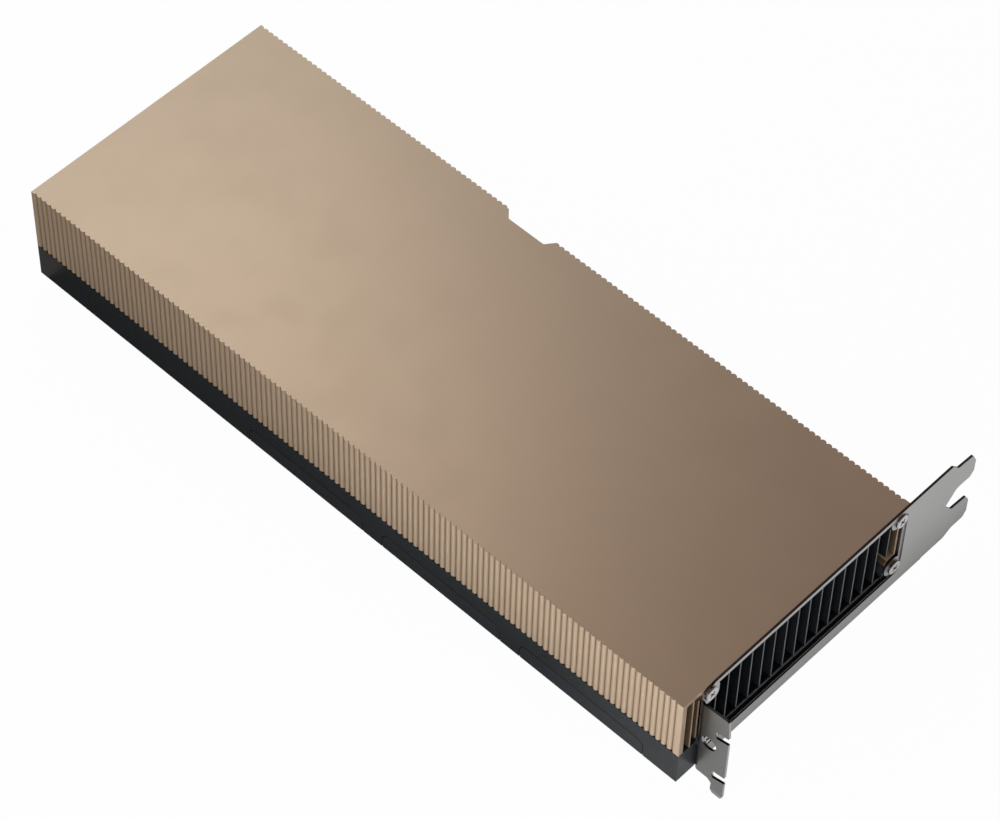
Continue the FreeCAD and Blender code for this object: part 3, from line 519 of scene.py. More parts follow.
class Effects:
    """Node groups that several finishes share, each built once."""

    GRAIN = Layers("fine_grain", scale=6000.0, share_name="Coarse", share=0.35, fine=Noise(2.0, 0.65),
                   coarse=Noise(1.0, finer=0.22), tone_from=0.35, tone_to=0.95)
    BRUSHING = Layers("brushed_lines", scale=900.0, share_name="Breaks", share=0.4, fine=Noise(4.0, 0.7),
                      coarse=Noise(2.0, finer=0.13), tone_from=0.4, tone_to=0.95)
    DRIFT_SCALE = 14.0
    MASK, MASK_RANGE = Noise(3.0), (0.35, 0.65)
    BLOTCH, BLOTCH_RANGE = Noise(4.0, finer=7.0), (0.42, 0.66)
    TIGHT = 0.9

    def __init__(self) -> None:
        """Build every group."""
        self.grain = self._layered(self.GRAIN)
        self.brushing = self._layered(self.BRUSHING)
        self.drift = self._drift()
        self.facing = self._facing()

    @staticmethod
    def _group(name: str, inputs: dict[str, float],
               outputs: list[str]) -> tuple[Wiring, bpy.types.Node, bpy.types.Node]:
        """Start a node group.

        Args:
            name: the group's name.
            inputs: value inputs and their defaults.
            outputs: names of the value outputs.

        Returns:
            Its wiring, its input node and its output node.
        """
        tree = bpy.data.node_groups.new(name, "ShaderNodeTree")
        tree.interface.new_socket("Vector", in_out="INPUT", socket_type="NodeSocketVector")
        for key, value in inputs.items():
            socket = tree.interface.new_socket(key, in_out="INPUT", socket_type="NodeSocketFloat")
            socket.default_value = value
        for key in outputs:
            tree.interface.new_socket(key, in_out="OUTPUT", socket_type="NodeSocketFloat")
        return Wiring(tree), tree.nodes.new("NodeGroupInput"), tree.nodes.new("NodeGroupOutput")

    @staticmethod
    def _noise(wire: Wiring, source: bpy.types.Node, noise: Noise) -> bpy.types.NodeSocket:
        """Add one size of noise to a group.

        Args:
            wire: the group's wiring.
            source: the group's input node.
            noise: the noise.

        Returns:
            The noise's socket.
        """
        node = wire.add("TexNoise")
        node.inputs["Detail"].default_value = noise.detail
        node.inputs["Roughness"].default_value = noise.roughness
        wire.join(source.outputs["Vector"], node.inputs["Vector"])
        wire.join(wire.math("MULTIPLY", source.outputs["Scale"], noise.finer), node.inputs["Scale"])
        return node.outputs["Fac"]

    def _layered(self, layers: Layers) -> bpy.types.NodeTree:
        """Grain or brushing; for a brushing the vector comes in stretched along the lines.

        Args:
            layers: the two sizes of noise and their shares.

        Returns:
            The group.
        """
        wire, source, target = self._group(
            layers.name, {"Scale": layers.scale, layers.share_name: layers.share}, ["Height", "Tone"])
        coarse = wire.math("MULTIPLY", self._noise(wire, source, layers.coarse),
                           source.outputs[layers.share_name])
        height = wire.math("ADD", self._noise(wire, source, layers.fine), coarse)
        wire.join(height, target.inputs["Height"])
        wire.join(wire.remap(height, layers.tone_from, layers.tone_to), target.inputs["Tone"])
        return wire.tree

    def _drift(self) -> bpy.types.NodeTree:
        """Slow drift over a whole surface, for colour and gloss that are never quite even."""
        wire, source, target = self._group("slow_drift", {"Scale": self.DRIFT_SCALE}, ["Mask", "Blotch"])
        for name, noise, ends in (("Mask", self.MASK, self.MASK_RANGE),
                                  ("Blotch", self.BLOTCH, self.BLOTCH_RANGE)):
            wire.join(wire.remap(self._noise(wire, source, noise), *ends), target.inputs[name])
        return wire.tree

    def _facing(self) -> bpy.types.NodeTree:
        """Masks of the faces that look along each axis; the vector is the surface normal."""
        names = {axis: "Along " + axis.name for axis in Axis}
        wire, source, target = self._group("facing", {"Tight": self.TIGHT}, list(names.values()))
        for axis, part in wire.axes(source.outputs["Vector"]).items():
            mask = wire.math("GREATER_THAN", wire.math("ABSOLUTE", part), source.outputs["Tight"])
            wire.join(mask, target.inputs[names[axis]])
        return wire.tree


class Canvas:
    """The material of one finish, with its wiring, its shader and the shared effects."""

    FINE_SHARE = 0.65

    def __init__(self, finish: Finish, effects: Effects) -> None:
        """Make the material, with the finish's plain values on the shader's own sockets.

        Args:
            finish: the finish.
            effects: the shared node groups.
        """
        self.finish = finish
        self.effects = effects
        self.material = bpy.data.materials.new(finish.name)
        self.material.diffuse_color = (*finish.colour, 1.0)
        self.wire = Wiring.fresh(self.material)
        output = self.wire.add("OutputMaterial")
        self.shader = self.wire.add("BsdfPrincipled")
        for name, value in (("Metallic", finish.metallic), ("Roughness", finish.roughness),
                            ("Specular IOR Level", finish.specular), ("Base Color", (*finish.colour, 1.0))):
            self.shader.inputs[name].default_value = value
        self.wire.join(self.shader.outputs["BSDF"], output.inputs["Surface"])

    def effect(self, group: bpy.types.NodeTree, vector: bpy.types.NodeSocket,
               **values: float) -> dict[str, bpy.types.NodeSocket]:
        """Place a shared effect.

        Args:
            group: the effect.
            vector: coordinates or normals for it.
            values: its input values.

        Returns:
            Its outputs by name.
        """
        node = self.wire.add("Group")
        node.node_tree = group
        self.wire.join(vector, node.inputs["Vector"])
        for key, value in values.items():
            node.inputs[key].default_value = value
        return {socket.name: socket for socket in node.outputs}

    def facing(self, axis: Axis, tight: float) -> bpy.types.NodeSocket:
        """Mask of the faces that look along an axis.

        Args:
            axis: the axis.
            tight: least share of the normal along it.

        Returns:
            The mask's socket.
        """
        normal = self.wire.add("TexCoord").outputs["Normal"]
        return self.effect(self.effects.facing, normal, Tight=tight)["Along " + axis.name]

    def tint(self, share: bpy.types.NodeSocket) -> None:
        """Colour the surface between the finish's two tones."""
        mixed = self.wire.mix(share, self.finish.colour, self.finish.second)
        self.wire.join(mixed, self.shader.inputs["Base Color"])

    def blend(self, tone: bpy.types.NodeSocket, mask: bpy.types.NodeSocket) -> None:
        """Colour the surface by a fine tone and a slow mask together."""
        self.tint(self.wire.math("ADD", self.wire.math("MULTIPLY", mask, 1.0 - self.FINE_SHARE),
                                 self.wire.math("MULTIPLY", tone, self.FINE_SHARE)))

    def cover(self, mask: bpy.types.NodeSocket, colour: Colour) -> None:
        """Lay a colour over the present one where a mask says so."""
        socket = self.shader.inputs["Base Color"]
        self.wire.join(self.wire.mix(mask, socket.links[0].from_socket, colour), socket)

    def gloss(self, value: bpy.types.NodeSocket) -> None:
        """Spread the roughness around the finish's own by a value from 0 to 1.

        Args:
            value: the value's socket.
        """
        middle, half = self.finish.roughness, self.finish.spread / 2
        varied = self.wire.remap(value, 0.0, 1.0, middle - half, middle + half)
        self.wire.join(varied, self.shader.inputs["Roughness"])

    def relief(self, height: bpy.types.NodeSocket) -> None:
        """Feed a height to the shader's normal through a bump.

        Args:
            height: the height's socket.
        """
        bump = self.wire.add("Bump")
        bump.inputs["Strength"].default_value = self.finish.bump
        bump.inputs["Distance"].default_value = self.finish.bump_depth
        self.wire.join(height, bump.inputs["Height"])
        self.wire.join(bump.outputs["Normal"], self.shader.inputs["Normal"])


@dataclass(frozen=True)
class PaintedEdgeShading:
    """Painted light or shade on the faces of a part that look along one axis, such as a painted dark
    reflection on a sheet's edges.
    """

    colour: Colour
    axis: Axis
    tight: float


@dataclass(frozen=True)
class Finish:
    """A finish: two close tones, plain shader values and, where given, painted light or shade on the faces
    that look along one axis.
    """

    name: str
    slot: str
    colour: Colour
    second: Colour
    roughness: float = 0.4
    metallic: float = 0.0
    specular: float = 0.5
    spread: float = 0.06
    bump: float = 0.1
    bump_depth: float = 0.02 * MM
    # painted light or shade on the faces along one axis, if any
    cut: PaintedEdgeShading | None = None

    def build(self, effects: Effects) -> bpy.types.Material:
        """Build the material.

        Args:
            effects: the shared node groups.

        Returns:
            The finished material.
        """
        canvas = Canvas(self, effects)
        self.paint(canvas)
        # lay the painted light or shade over the faces that look along its axis
        if self.cut:
            canvas.cover(canvas.facing(self.cut.axis, self.cut.tight), self.cut.colour)
        return canvas.material

    def paint(self, canvas: Canvas) -> None:
        """Paint the material; each kind of finish says how."""
        raise NotImplementedError


@dataclass(frozen=True)
class BlastedFinish(Finish):
    """Bead-blasted and coated metal with a fine even grain and a slow drift of tone."""

    grain_scale: float = 5200.0
    drift_scale: float = 11.0

    def paint(self, canvas: Canvas) -> None:
        """Blend two tones by drift and grain, and raise the grain.

        Args:
            canvas: the material to paint.
        """
        place = canvas.wire.place()
        drift = canvas.effect(canvas.effects.drift, place, Scale=self.drift_scale)
        grain = canvas.effect(canvas.effects.grain, place, Scale=self.grain_scale)
        canvas.blend(grain["Tone"], drift["Mask"])
        canvas.gloss(drift["Blotch"])
        canvas.relief(grain["Height"])


@dataclass(frozen=True)
class ReededFinish(BlastedFinish):
    """Blasted and coated casting, with painted shade in its side grooves and on its inner walls: a darker,
    browner colour where shade falls.
    """

    # painted shade in the reeds' valleys, for the light that the reeds keep from each other
    groove_shade: Colour = (0.12, 0.075, 0.043)
    groove_shade_share: float = 0.8
    groove_start: float = 0.075 * MM
    groove_depth: float = 0.75 * MM
    valley: float = 0.8 * MM
    flat_relief: float = 0.64
    # painted shade on the inner walls, which stand in the shroud's own shade
    inner: Colour = (0.115, 0.07, 0.038)
    wall: float = 1.7 * MM
    half_width: float = 48.75 * MM
    middle: float = -15.15 * MM
    side_tight: float = 0.5
    end_tight: float = 0.97

    def paint(self, canvas: Canvas) -> None:
        """Paint shade from the reeds' crests into their valleys, less on plain faces, and paint shade on the
        inner walls.

        Args:
            canvas: the material to paint.
        """
        super().paint(canvas)
        wire = canvas.wire
        offset = wire.math("SUBTRACT", wire.axes(wire.place())[Axis.Y], self.middle)
        across = wire.math("ABSOLUTE", offset)
        valley_shade = wire.remap(across, self.half_width - self.groove_start,
                          self.half_width - self.groove_depth, 0.0, self.groove_shade_share)
        side = wire.math("SUBTRACT", 1.0, canvas.facing(Axis.Z, self.side_tight))
        past = wire.math("LESS_THAN", across, self.half_width - self.valley)
        flat = wire.math("MAXIMUM", canvas.facing(Axis.X, self.end_tight), past)
        held = wire.math("SUBTRACT", 1.0, wire.math("MULTIPLY", flat, self.flat_relief))
        # lay the painted shade in the valleys
        canvas.cover(wire.math("MULTIPLY", valley_shade, wire.math("MULTIPLY", side, held)), self.groove_shade)
        # lay the painted shade on the inner walls that face along Y
        inside = wire.math("LESS_THAN", across, self.half_width - self.wall)
        canvas.cover(wire.math("MULTIPLY", inside, canvas.facing(Axis.Y, self.side_tight)), self.inner)


@dataclass(frozen=True)
class BrushedFinish(Finish):
    """Rolled sheet or drawn metal with fine lines along one axis."""

    line_scale: float = 900.0
    drift_scale: float = 30.0
    grain_axis: Axis = Axis.Y
    stretch: float = 0.03

    def paint(self, canvas: Canvas) -> None:
        """Vary tone, gloss and height along the lines.

        Args:
            canvas: the material to paint.
        """
        scale = tuple(self.stretch if axis is self.grain_axis else 1.0 for axis in Axis)
        lines = canvas.effect(canvas.effects.brushing, canvas.wire.place(scale=scale), Scale=self.line_scale)
        drift = canvas.effect(canvas.effects.drift, canvas.wire.place(), Scale=self.drift_scale)
        canvas.blend(lines["Tone"], drift["Mask"])
        canvas.gloss(lines["Tone"])
        canvas.relief(lines["Height"])


@dataclass(frozen=True)
class MouldedFinish(Finish):
    """Moulded plastic, ceramic or glass-filled resin with a soft spark-eroded texture."""

    texture_scale: float = 2600.0
    coarse: float = 0.8
    drift_scale: float = 60.0

    def paint(self, canvas: Canvas) -> None:
        """Speckle the colour and raise the texture.

        Args:
            canvas: the material to paint.
        """
        place = canvas.wire.place()
        grain = canvas.effect(canvas.effects.grain, place, Scale=self.texture_scale, Coarse=self.coarse)
        drift = canvas.effect(canvas.effects.drift, place, Scale=self.drift_scale)
        canvas.tint(grain["Tone"])
        canvas.gloss(drift["Blotch"])
        canvas.relief(grain["Height"])


@dataclass(frozen=True)
class LaminateFinish(Finish):
    """Circuit board: solder mask over faint copper runs, and bare layered laminate on its cut edges."""

    edge: Colour = (0.09, 0.085, 0.045)
    edge_dark: Colour = (0.045, 0.042, 0.02)
    layer_count: float = 5600.0
    run_scale: float = 420.0
    run_gap: float = 0.035
    run_softness: float = 0.4
    run_length: float = 2.2
    run_height: float = 0.3
    face_tight: float = 0.7

    def paint(self, canvas: Canvas) -> None:
        """Runs under the mask on the faces, layers on the edges.

        Args:
            canvas: the material to paint.
        """
        wire = canvas.wire
        runs = wire.add("TexBrick", offset=0.5, squash=1.0)
        wire.join(wire.place(), runs.inputs["Vector"])
        for name, value in (("Scale", self.run_scale), ("Mortar Size", self.run_gap),
                            ("Mortar Smooth", self.run_softness), ("Brick Width", self.run_length),
                            ("Row Height", self.run_height)):
            runs.inputs[name].default_value = value
        covered = wire.mix(runs.outputs["Fac"], self.colour, self.second)
        layers = wire.add("TexWave", wave_type="BANDS", bands_direction="Z")
        wire.join(wire.place(), layers.inputs["Vector"])
        layers.inputs["Scale"].default_value = self.layer_count
        cut = wire.mix(layers.outputs["Fac"], self.edge_dark, self.edge)
        faces = canvas.facing(Axis.Z, self.face_tight)
        wire.join(wire.mix(faces, cut, covered), canvas.shader.inputs["Base Color"])
        canvas.relief(runs.outputs["Fac"])


@dataclass(frozen=True)
class Palette:
    """Every finish of the card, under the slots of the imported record."""

    gold: Finish = ReededFinish("champagne_coated_shell", "gold_shell", (0.480, 0.340, 0.229),
                                (0.462, 0.326, 0.219), metallic=0.6, spread=0.03, bump=0.12)
    frame: Finish = BlastedFinish("black_coated_frame", "black_metal", (0.011, 0.0116, 0.012),
                                  (0.014, 0.0147, 0.0153), roughness=0.3, specular=0.22, bump=0.2)
    cover: Finish = MouldedFinish("black_moulded_cap", "black_plastic", (0.0115, 0.012, 0.0125),
                                  (0.0145, 0.0152, 0.016), roughness=0.36, specular=0.22, bump=0.25)
    # the sheet's up- and down-facing edges get painted shade: a near-black colour that stands in for the dark
    # they reflect
    steel: Finish = BrushedFinish("rolled_stainless", "bracket_steel", (0.28, 0.276, 0.272),
                                  (0.32, 0.316, 0.312), roughness=0.32, metallic=1.0, bump=0.12,
                                  cut=PaintedEdgeShading((0.06, 0.058, 0.056), Axis.Z, tight=0.6))
    bright: Finish = BrushedFinish("bright_nickel_screw", "screw_steel", (0.40, 0.385, 0.38),
                                   (0.46, 0.445, 0.44), roughness=0.24, metallic=1.0)
    board: Finish = LaminateFinish("solder_mask_board", "board_laminate", (0.008, 0.012, 0.010),
                                   (0.014, 0.021, 0.017), roughness=0.32, bump=0.3)
    contact: Finish = BrushedFinish("hard_gold_contact", "contact_gold", (0.83, 0.60, 0.24),
                                    (0.90, 0.66, 0.30), roughness=0.2, metallic=1.0)
    substrate: Finish = MouldedFinish("package_laminate", "substrate_laminate", (0.02, 0.06, 0.035),
                                      (0.03, 0.08, 0.045))
    copper: Finish = BrushedFinish("nickel_plated_copper", "plated_copper", (0.40, 0.37, 0.33),
                                   (0.46, 0.42, 0.38), roughness=0.3, metallic=1.0)
    silicon: Finish = MouldedFinish("polished_silicon", "silicon", (0.06, 0.065, 0.075),
                                    (0.08, 0.085, 0.095), roughness=0.15, metallic=0.6)
    # the cooler's faces along X, the fins' ends, get a painted highlight: a paler colour that stands in for
    # their sheen
    cooler: Finish = BlastedFinish("black_coated_cooler", "cooler_black", (0.004, 0.0043, 0.005),
                                   (0.007, 0.0074, 0.0085), specular=0.25, bump=0.15,
                                   cut=PaintedEdgeShading((0.05, 0.051, 0.053), Axis.X, tight=0.9))
    spring: Finish = BrushedFinish("spring_steel_strip", "spring_steel", (0.30, 0.29, 0.28),
                                   (0.38, 0.37, 0.36), roughness=0.3, metallic=1.0, grain_axis=Axis.X)
    ferrite: Finish = MouldedFinish("pressed_ferrite", "ferrite", (0.05, 0.05, 0.052),
                                    (0.08, 0.08, 0.083), roughness=0.6, bump=0.5)
    chip: Finish = MouldedFinish("chip_resin", "chip_mould", (0.012, 0.012, 0.013),
                                 (0.02, 0.02, 0.021), roughness=0.5)
    pad: Finish = MouldedFinish("thermal_putty_pad", "pad_rubber", (0.30, 0.32, 0.36),
                                (0.36, 0.38, 0.42), roughness=0.8, bump=0.6)
    capacitor: Finish = MouldedFinish("capacitor_resin", "capacitor_mould", (0.05, 0.04, 0.02),
                                      (0.07, 0.055, 0.03), roughness=0.5)
    dark_screw: Finish = BrushedFinish("black_zinc_screw", "black_screw", (0.03, 0.03, 0.032),
                                       (0.05, 0.05, 0.053), roughness=0.35, metallic=0.8)


class Wardrobe:
    """Builds each finish once and puts it on pieces and nodes."""

    def __init__(self, palette: Palette, effects: Effects) -> None:
        """Keep the palette and the shared effects.

        Args:
            palette: every finish of the card.
            effects: the shared node groups.
        """
        self.palette = palette
        self.effects = effects
        self.built: dict[str, bpy.types.Material] = {}

    def material(self, finish: Finish) -> bpy.types.Material:
        """Look a finish up, and build it on its first use.

        Args:
            finish: the finish.

        Returns:
            Its material.
        """
        if finish.name not in self.built:
            self.built[finish.name] = finish.build(self.effects)
        return self.built[finish.name]

    def dress(self, piece: bpy.types.Object, finish: Finish) -> None:
        """Give a new piece its finish.

        Args:
            piece: the piece.
            finish: its finish.
        """
        piece.data.materials.clear()
        piece.data.materials.append(self.material(finish))

    def dress_node(self, node: bpy.types.Object, finish: Finish) -> None:
        """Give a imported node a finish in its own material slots."""
        for slot in node.material_slots:
            slot.material = self.material(finish)


# ---------------------------------------------------------------- sub-assemblies


@dataclass(frozen=True)
class Recess:
    """Driver's recess in a screw's head."""

    drive: Drive
    reach: float
    width: float
    depth: float
    taper: tuple[float, float] = (0.5, 0.6)
    lobes: int = 6
    lobe_round: float = 0.16
    lobe_steps: int = 3

    def cut(self, screw: bpy.types.Object, top: Vector, turn: tuple[float, float, float]) -> None:
        """Cut the recess into a head.

        Args:
            screw: the screw.
            top: middle of the head's top.
            turn: turn in degrees that brings +Z to the way the head faces.
        """
        cutter = self._cross() if self.drive is Drive.CROSS else self._six_lobe()
        cutter.rotation_euler = tuple(math.radians(angle) for angle in turn)
        cutter.location = top
        apply_place(cutter)
        combine(screw, cutter, Change.CUT)

    def _cross(self) -> bpy.types.Object:
        """Model a tapered cross that stands half above the origin.

        Returns:
            The cross.
        """
        arms = []
        half = Vector((self.reach, self.width / 2, self.depth))
        for turn in (45.0, -45.0):
            arm = block(-half, half, "recess_arm")
            pick(arm, Element.FACE, lambda face: face.normal.z < -FACING)
            with editing(arm):
                bpy.ops.transform.resize(value=(*self.taper, 1.0))
            arm.rotation_euler = (0.0, 0.0, math.radians(turn))
            apply_place(arm)
            arms.append(arm)
        combine(*arms, Change.FUSE)
        return arms[0]

    def _six_lobe(self) -> bpy.types.Object:
        """Model a star of rounded lobes that stands half above the origin.

        Returns:
            The star.
        """
        corners = 2 * self.lobes
        step = math.tau / corners
        bpy.ops.object.select_all(action="DESELECT")
        bpy.ops.mesh.primitive_cylinder_add(vertices=corners, radius=self.reach, depth=2 * self.depth)
        star = bpy.context.active_object
        pick(star, Element.POINT, lambda point: round(math.atan2(point.co.y, point.co.x) / step) % 2 == 1)
        share = self.width / self.reach
        with editing(star):
            bpy.ops.transform.resize(value=(share, share, 1.0))
        bevel_where(star, self.lobe_round * self.reach, upright(self.depth), self.lobe_steps,
                    sharper_than=20.0)
        return star


@dataclass
class Assembly:
    """A sub-assembly of the card."""

    nodes: dict[str, bpy.types.Object]
    wardrobe: Wardrobe

    def finish_piece(self, piece: bpy.types.Object, finish: Finish, *replaced: str) -> None:
        """Dress a piece, let it ride with the card and hide the nodes that it stands for.

        Args:
            piece: the finished mesh.
            finish: its finish.
            replaced: nodes that it stands for.
        """
        self.wardrobe.dress(piece, finish)
        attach(piece, BODY)
        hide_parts(*replaced)
        LOG.info("%s: %d faces", piece.name, len(piece.data.polygons))

    def dress_nodes(self, finishes: dict[str, Finish]) -> None:
        """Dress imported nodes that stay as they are.

        Args:
            finishes: the finish of each node.
        """
        for name, finish in finishes.items():
            self.wardrobe.dress_node(self.nodes[name], finish)
            LOG.info("%s: packed solid, %s", name, finish.name)

    def soften(self, node: str, name: str, finish: Finish, width: float, chosen: EdgeTest) -> None:
        """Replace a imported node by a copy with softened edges.

        Args:
            node: name of the node.
            name: name of the new piece.
            finish: its finish.
            width: width of the rounding.
            chosen: test on an edge's two ends.
        """
        piece = merged_copy(self.nodes[node], name)
        bevel_where(piece, width, chosen)
        smooth(piece)
        self.finish_piece(piece, finish, node)

    def repeat(self, node: str, name: str, finish: Finish,
               model: Callable[[Vector, Vector], bpy.types.Object]) -> None:
        """Replace a node of like solids by copies of one modelled piece.

        Args:
            node: name of the node.
            name: name of the new piece.
            finish: its finish.
            model: models the first solid from its lowest and highest corners.
        """
        boxes = solid_boxes(self.nodes[node])
        low, high = boxes[0]
        first = model(low, high)
        copies = [copy_piece(first, other - low) for other, _ in boxes[1:]]
        self.finish_piece(join_pieces([first, *copies], name), finish, node)


@dataclass
class Shroud(Assembly):
    """Gold casting with reeded sides."""

    rim_width: float = 0.22 * MM
    duct_near: float = 2.9 * MM
    duct_wall: float = 0.8 * MM
    duct_thinning: float = 0.2 * MM
    duct_shift: float = 1.4 * MM
    web: tuple[float, float] = (7.4 * MM, 8.2 * MM)
    web_length: float = 9.0 * MM
    web_set_back: float = 0.6 * MM
    web_foot: float = 0.9 * MM
    web_top: float = 5.5 * MM

    def build(self) -> None:
        """Round the rims, set the near duct wall and add the web under the near screw."""
        low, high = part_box("shroud")
        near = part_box("base_frame")[0].y
        piece = merged_copy(self.nodes["shroud"], "shroud_shell")
        outer = near + self.duct_near
        inner = outer + self.duct_wall
        shift_points(piece, Vector((0.0, self.duct_shift - self.duct_thinning, 0.0)),
                     lambda point: abs(point.y - inner) < SLACK)
        shift_points(piece, Vector((0.0, self.duct_shift, 0.0)),
                     lambda point: abs(point.y - outer) < SLACK)
        roof, front = above(Axis.Z, high.z - SLACK), above(Axis.X, high.x - SLACK)
        bevel_where(piece, self.rim_width, any_of(roof, front, below(Axis.X, low.x + SLACK)))
        web = block(Vector((high.x - self.web_length, near + self.web[0], low.z + self.web_foot)),
                    Vector((high.x - self.web_set_back, near + self.web[1], high.z - self.web_top)),
                    "screw_web")
        bevel_where(web, self.rim_width, upright(self.web_foot))
        shell = join_pieces([piece, web], "shroud_shell")
        smooth(shell)
        self.finish_piece(shell, self.wardrobe.palette.gold, "shroud")


@dataclass
class Frame(Assembly):
    """Black frame, back plate, their screws and the bridge caps."""

    caps: int = 3
    edge_width: float = 0.25 * MM
    cap_edge: float = 0.05 * MM
    plate_edge: float = 0.15 * MM
    shank: float = 1.1 * MM
    head_sides: int = 36
    head_rim: float = 0.06 * MM
    recess: Recess = Recess(Drive.SIX_LOBE, 1.15 * MM, 0.82 * MM, 0.75 * MM)

    def build(self) -> None:
        """Soften the outer edges of frame, caps and back plate, and model the plate's screws."""
        palette = self.wardrobe.palette
        low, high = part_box("base_frame")
        outside = any_of(*(below(axis, low[axis.value] + SLACK) for axis in Axis),
                         *(above(axis, high[axis.value] - SLACK) for axis in Axis))
        self.soften("base_frame", "card_frame", palette.frame, self.edge_width, outside)
        for number in range(1, self.caps + 1):
            name = f"bridge_cover_{number}"
            near = below(Axis.Y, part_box(name)[0].y + SLACK)
            self.soften(name, f"bridge_cap_{number}", palette.cover, self.cap_edge, near)
        under = below(Axis.Z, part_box("backplate")[0].z + SLACK)
        self.soften("backplate", "back_plate", palette.frame, self.plate_edge, under)
        self.repeat("backplate_screws", "countersunk_screws", palette.dark_screw, self._screw)
        self.dress_nodes({"shroud_screws": palette.dark_screw})

    def _screw(self, low: Vector, high: Vector) -> bpy.types.Object:
        """Model one countersunk screw whose head faces down.

        Args:
            low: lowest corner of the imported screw.
            high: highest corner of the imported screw.

        Returns:
            The screw.
        """
        middle = (low + high) / 2
        head = (high.x - low.x) / 2
        depth = head - self.shank
        rest = high.z - low.z - depth
        bpy.ops.object.select_all(action="DESELECT")
        bpy.ops.mesh.primitive_cone_add(vertices=self.head_sides, radius1=head, radius2=self.shank,
                                        depth=depth, location=(middle.x, middle.y, low.z + depth / 2))
        screw = bpy.context.active_object
        apply_place(screw)
        pick(screw, Element.FACE, lambda face: face.normal.z > FACING)
        with editing(screw):
            bpy.ops.mesh.extrude_region_move(TRANSFORM_OT_translate={"value": (0.0, 0.0, rest)})
        bevel_where(screw, self.head_rim, below(Axis.Z, low.z + SLACK))
        self.recess.cut(screw, Vector((middle.x, middle.y, low.z)), (180.0, 0.0, 0.0))
        smooth(screw, 40.0)
        return screw


@dataclass
class Bracket(Assembly):
    """Stainless slot bracket and its four pan-head screws."""

    edge_width: float = 0.1 * MM
    head_sides: int = 48
    head_round: float = 0.32 * MM
    head_steps: int = 5
    head_height: float = 1.1 * MM
    shank: float = 1.25 * MM
    recess: Recess = Recess(Drive.CROSS, 1.6 * MM, 0.8 * MM, 0.85 * MM)

    def build(self) -> None:
        """Soften the sheet's cut edges and model the screws."""
        palette = self.wardrobe.palette
        sheet = merged_copy(self.nodes["bracket"], "slot_bracket")
        bevel_where(sheet, self.edge_width, every_edge, sharper_than=60.0)
        smooth(sheet, 30.0)
        self.finish_piece(sheet, palette.steel, "bracket")
        self.repeat("bracket_screws", "pan_head_screws", palette.bright, self._screw)

    def _screw(self, low: Vector, high: Vector) -> bpy.types.Object:
        """Model one pan-head screw whose head faces along X.

        Args:
            low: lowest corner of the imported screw.
            high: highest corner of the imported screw.

        Returns:
            The screw.
        """
        middle = (low + high) / 2
        radius = (high.y - low.y) / 2
        seat = high.x - self.head_height
        waist = seat + self.head_height / 2
        bpy.ops.object.select_all(action="DESELECT")
        bpy.ops.mesh.primitive_cylinder_add(vertices=self.head_sides, radius=radius, depth=self.head_height,
                                            location=(waist, middle.y, middle.z),
                                            rotation=(0.0, math.radians(90.0), 0.0))
        screw = bpy.context.active_object
        apply_place(screw)
        bevel_where(screw, self.head_round, above(Axis.X, waist), self.head_steps, sharper_than=80.0)
        pick(screw, Element.FACE, lambda face: face.normal.x < -FACING)
        with editing(screw):
            bpy.ops.mesh.inset(thickness=radius - self.shank, depth=0.0)
            bpy.ops.mesh.extrude_region_move(TRANSFORM_OT_translate={"value": (low.x - seat, 0.0, 0.0)})
        self.recess.cut(screw, Vector((high.x, middle.y, middle.z)), (0.0, 90.0, 0.0))
        smooth(screw, 40.0)
        return screw


@dataclass
class Cooler(Assembly):
    """Fins, base and spring of the cooler."""

    def build(self) -> None:
        """Dress the cooler's nodes."""
        palette = self.wardrobe.palette
        self.dress_nodes({"heatsink_fins": palette.cooler, "heatsink_base": palette.cooler,
                          "spring_plate": palette.spring, "cooler_screws": palette.bright,
                          "thermal_pads": palette.pad})


@dataclass
class Board(Assembly):
    """Circuit board with its package, converters and sockets."""

    socket_edge: float = 0.12 * MM
    ramp_width: float = 5.6 * MM
    ramp_length: float = 4.2 * MM
    ramp_start: float = 1.2 * MM
    ramp_height: float = 0.9 * MM
    ramp_mouth: float = 0.15 * MM

    def build(self) -> None:
        """Model the power socket and dress the board's nodes."""
        palette = self.wardrobe.palette
        self._socket()
        self.dress_nodes({"circuit_board": palette.board, "edge_contacts": palette.contact,
                          "bridge_contacts": palette.contact, "processor_substrate": palette.substrate,
                          "package_stiffener": palette.copper, "processor_die": palette.silicon,
                          "memory_stacks": palette.silicon, "inductors": palette.ferrite,
                          "power_stages": palette.chip, "capacitors": palette.capacitor,
                          "power_pins": palette.contact})

    def _socket(self) -> None:
        """Soften the power socket and add the ramp that a plug's latch rides over."""
        low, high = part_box("power_socket")
        socket = merged_copy(self.nodes["power_socket"], "power_inlet")
        bevel_where(socket, self.socket_edge, every_edge)
        start = low.x + self.ramp_start
        middle = (low.y + high.y) / 2
        half = self.ramp_width / 2
        foot = high.z - SLACK
        ramp = block(Vector((start, middle - half, foot)),
                     Vector((start + self.ramp_length, middle + half, high.z + self.ramp_height)),
                     "latch_ramp")
        shift_points(ramp, Vector((0.0, 0.0, self.ramp_mouth - self.ramp_height)),
                     lambda point: point.x < start + SLACK and point.z > foot + SLACK)
        bevel_where(ramp, self.socket_edge, above(Axis.Z, foot + SLACK))
        inlet = join_pieces([socket, ramp], "power_inlet")
        smooth(inlet)
        self.finish_piece(inlet, self.wardrobe.palette.cover, "power_socket")


# ---------------------------------------------------------------- studio


def turned_to(place: Vector, aim: Vector) -> Euler:
    """Turn of a lamp or a card that faces its aim."""
    return (aim - place).to_track_quat("-Z", "Y").to_euler()


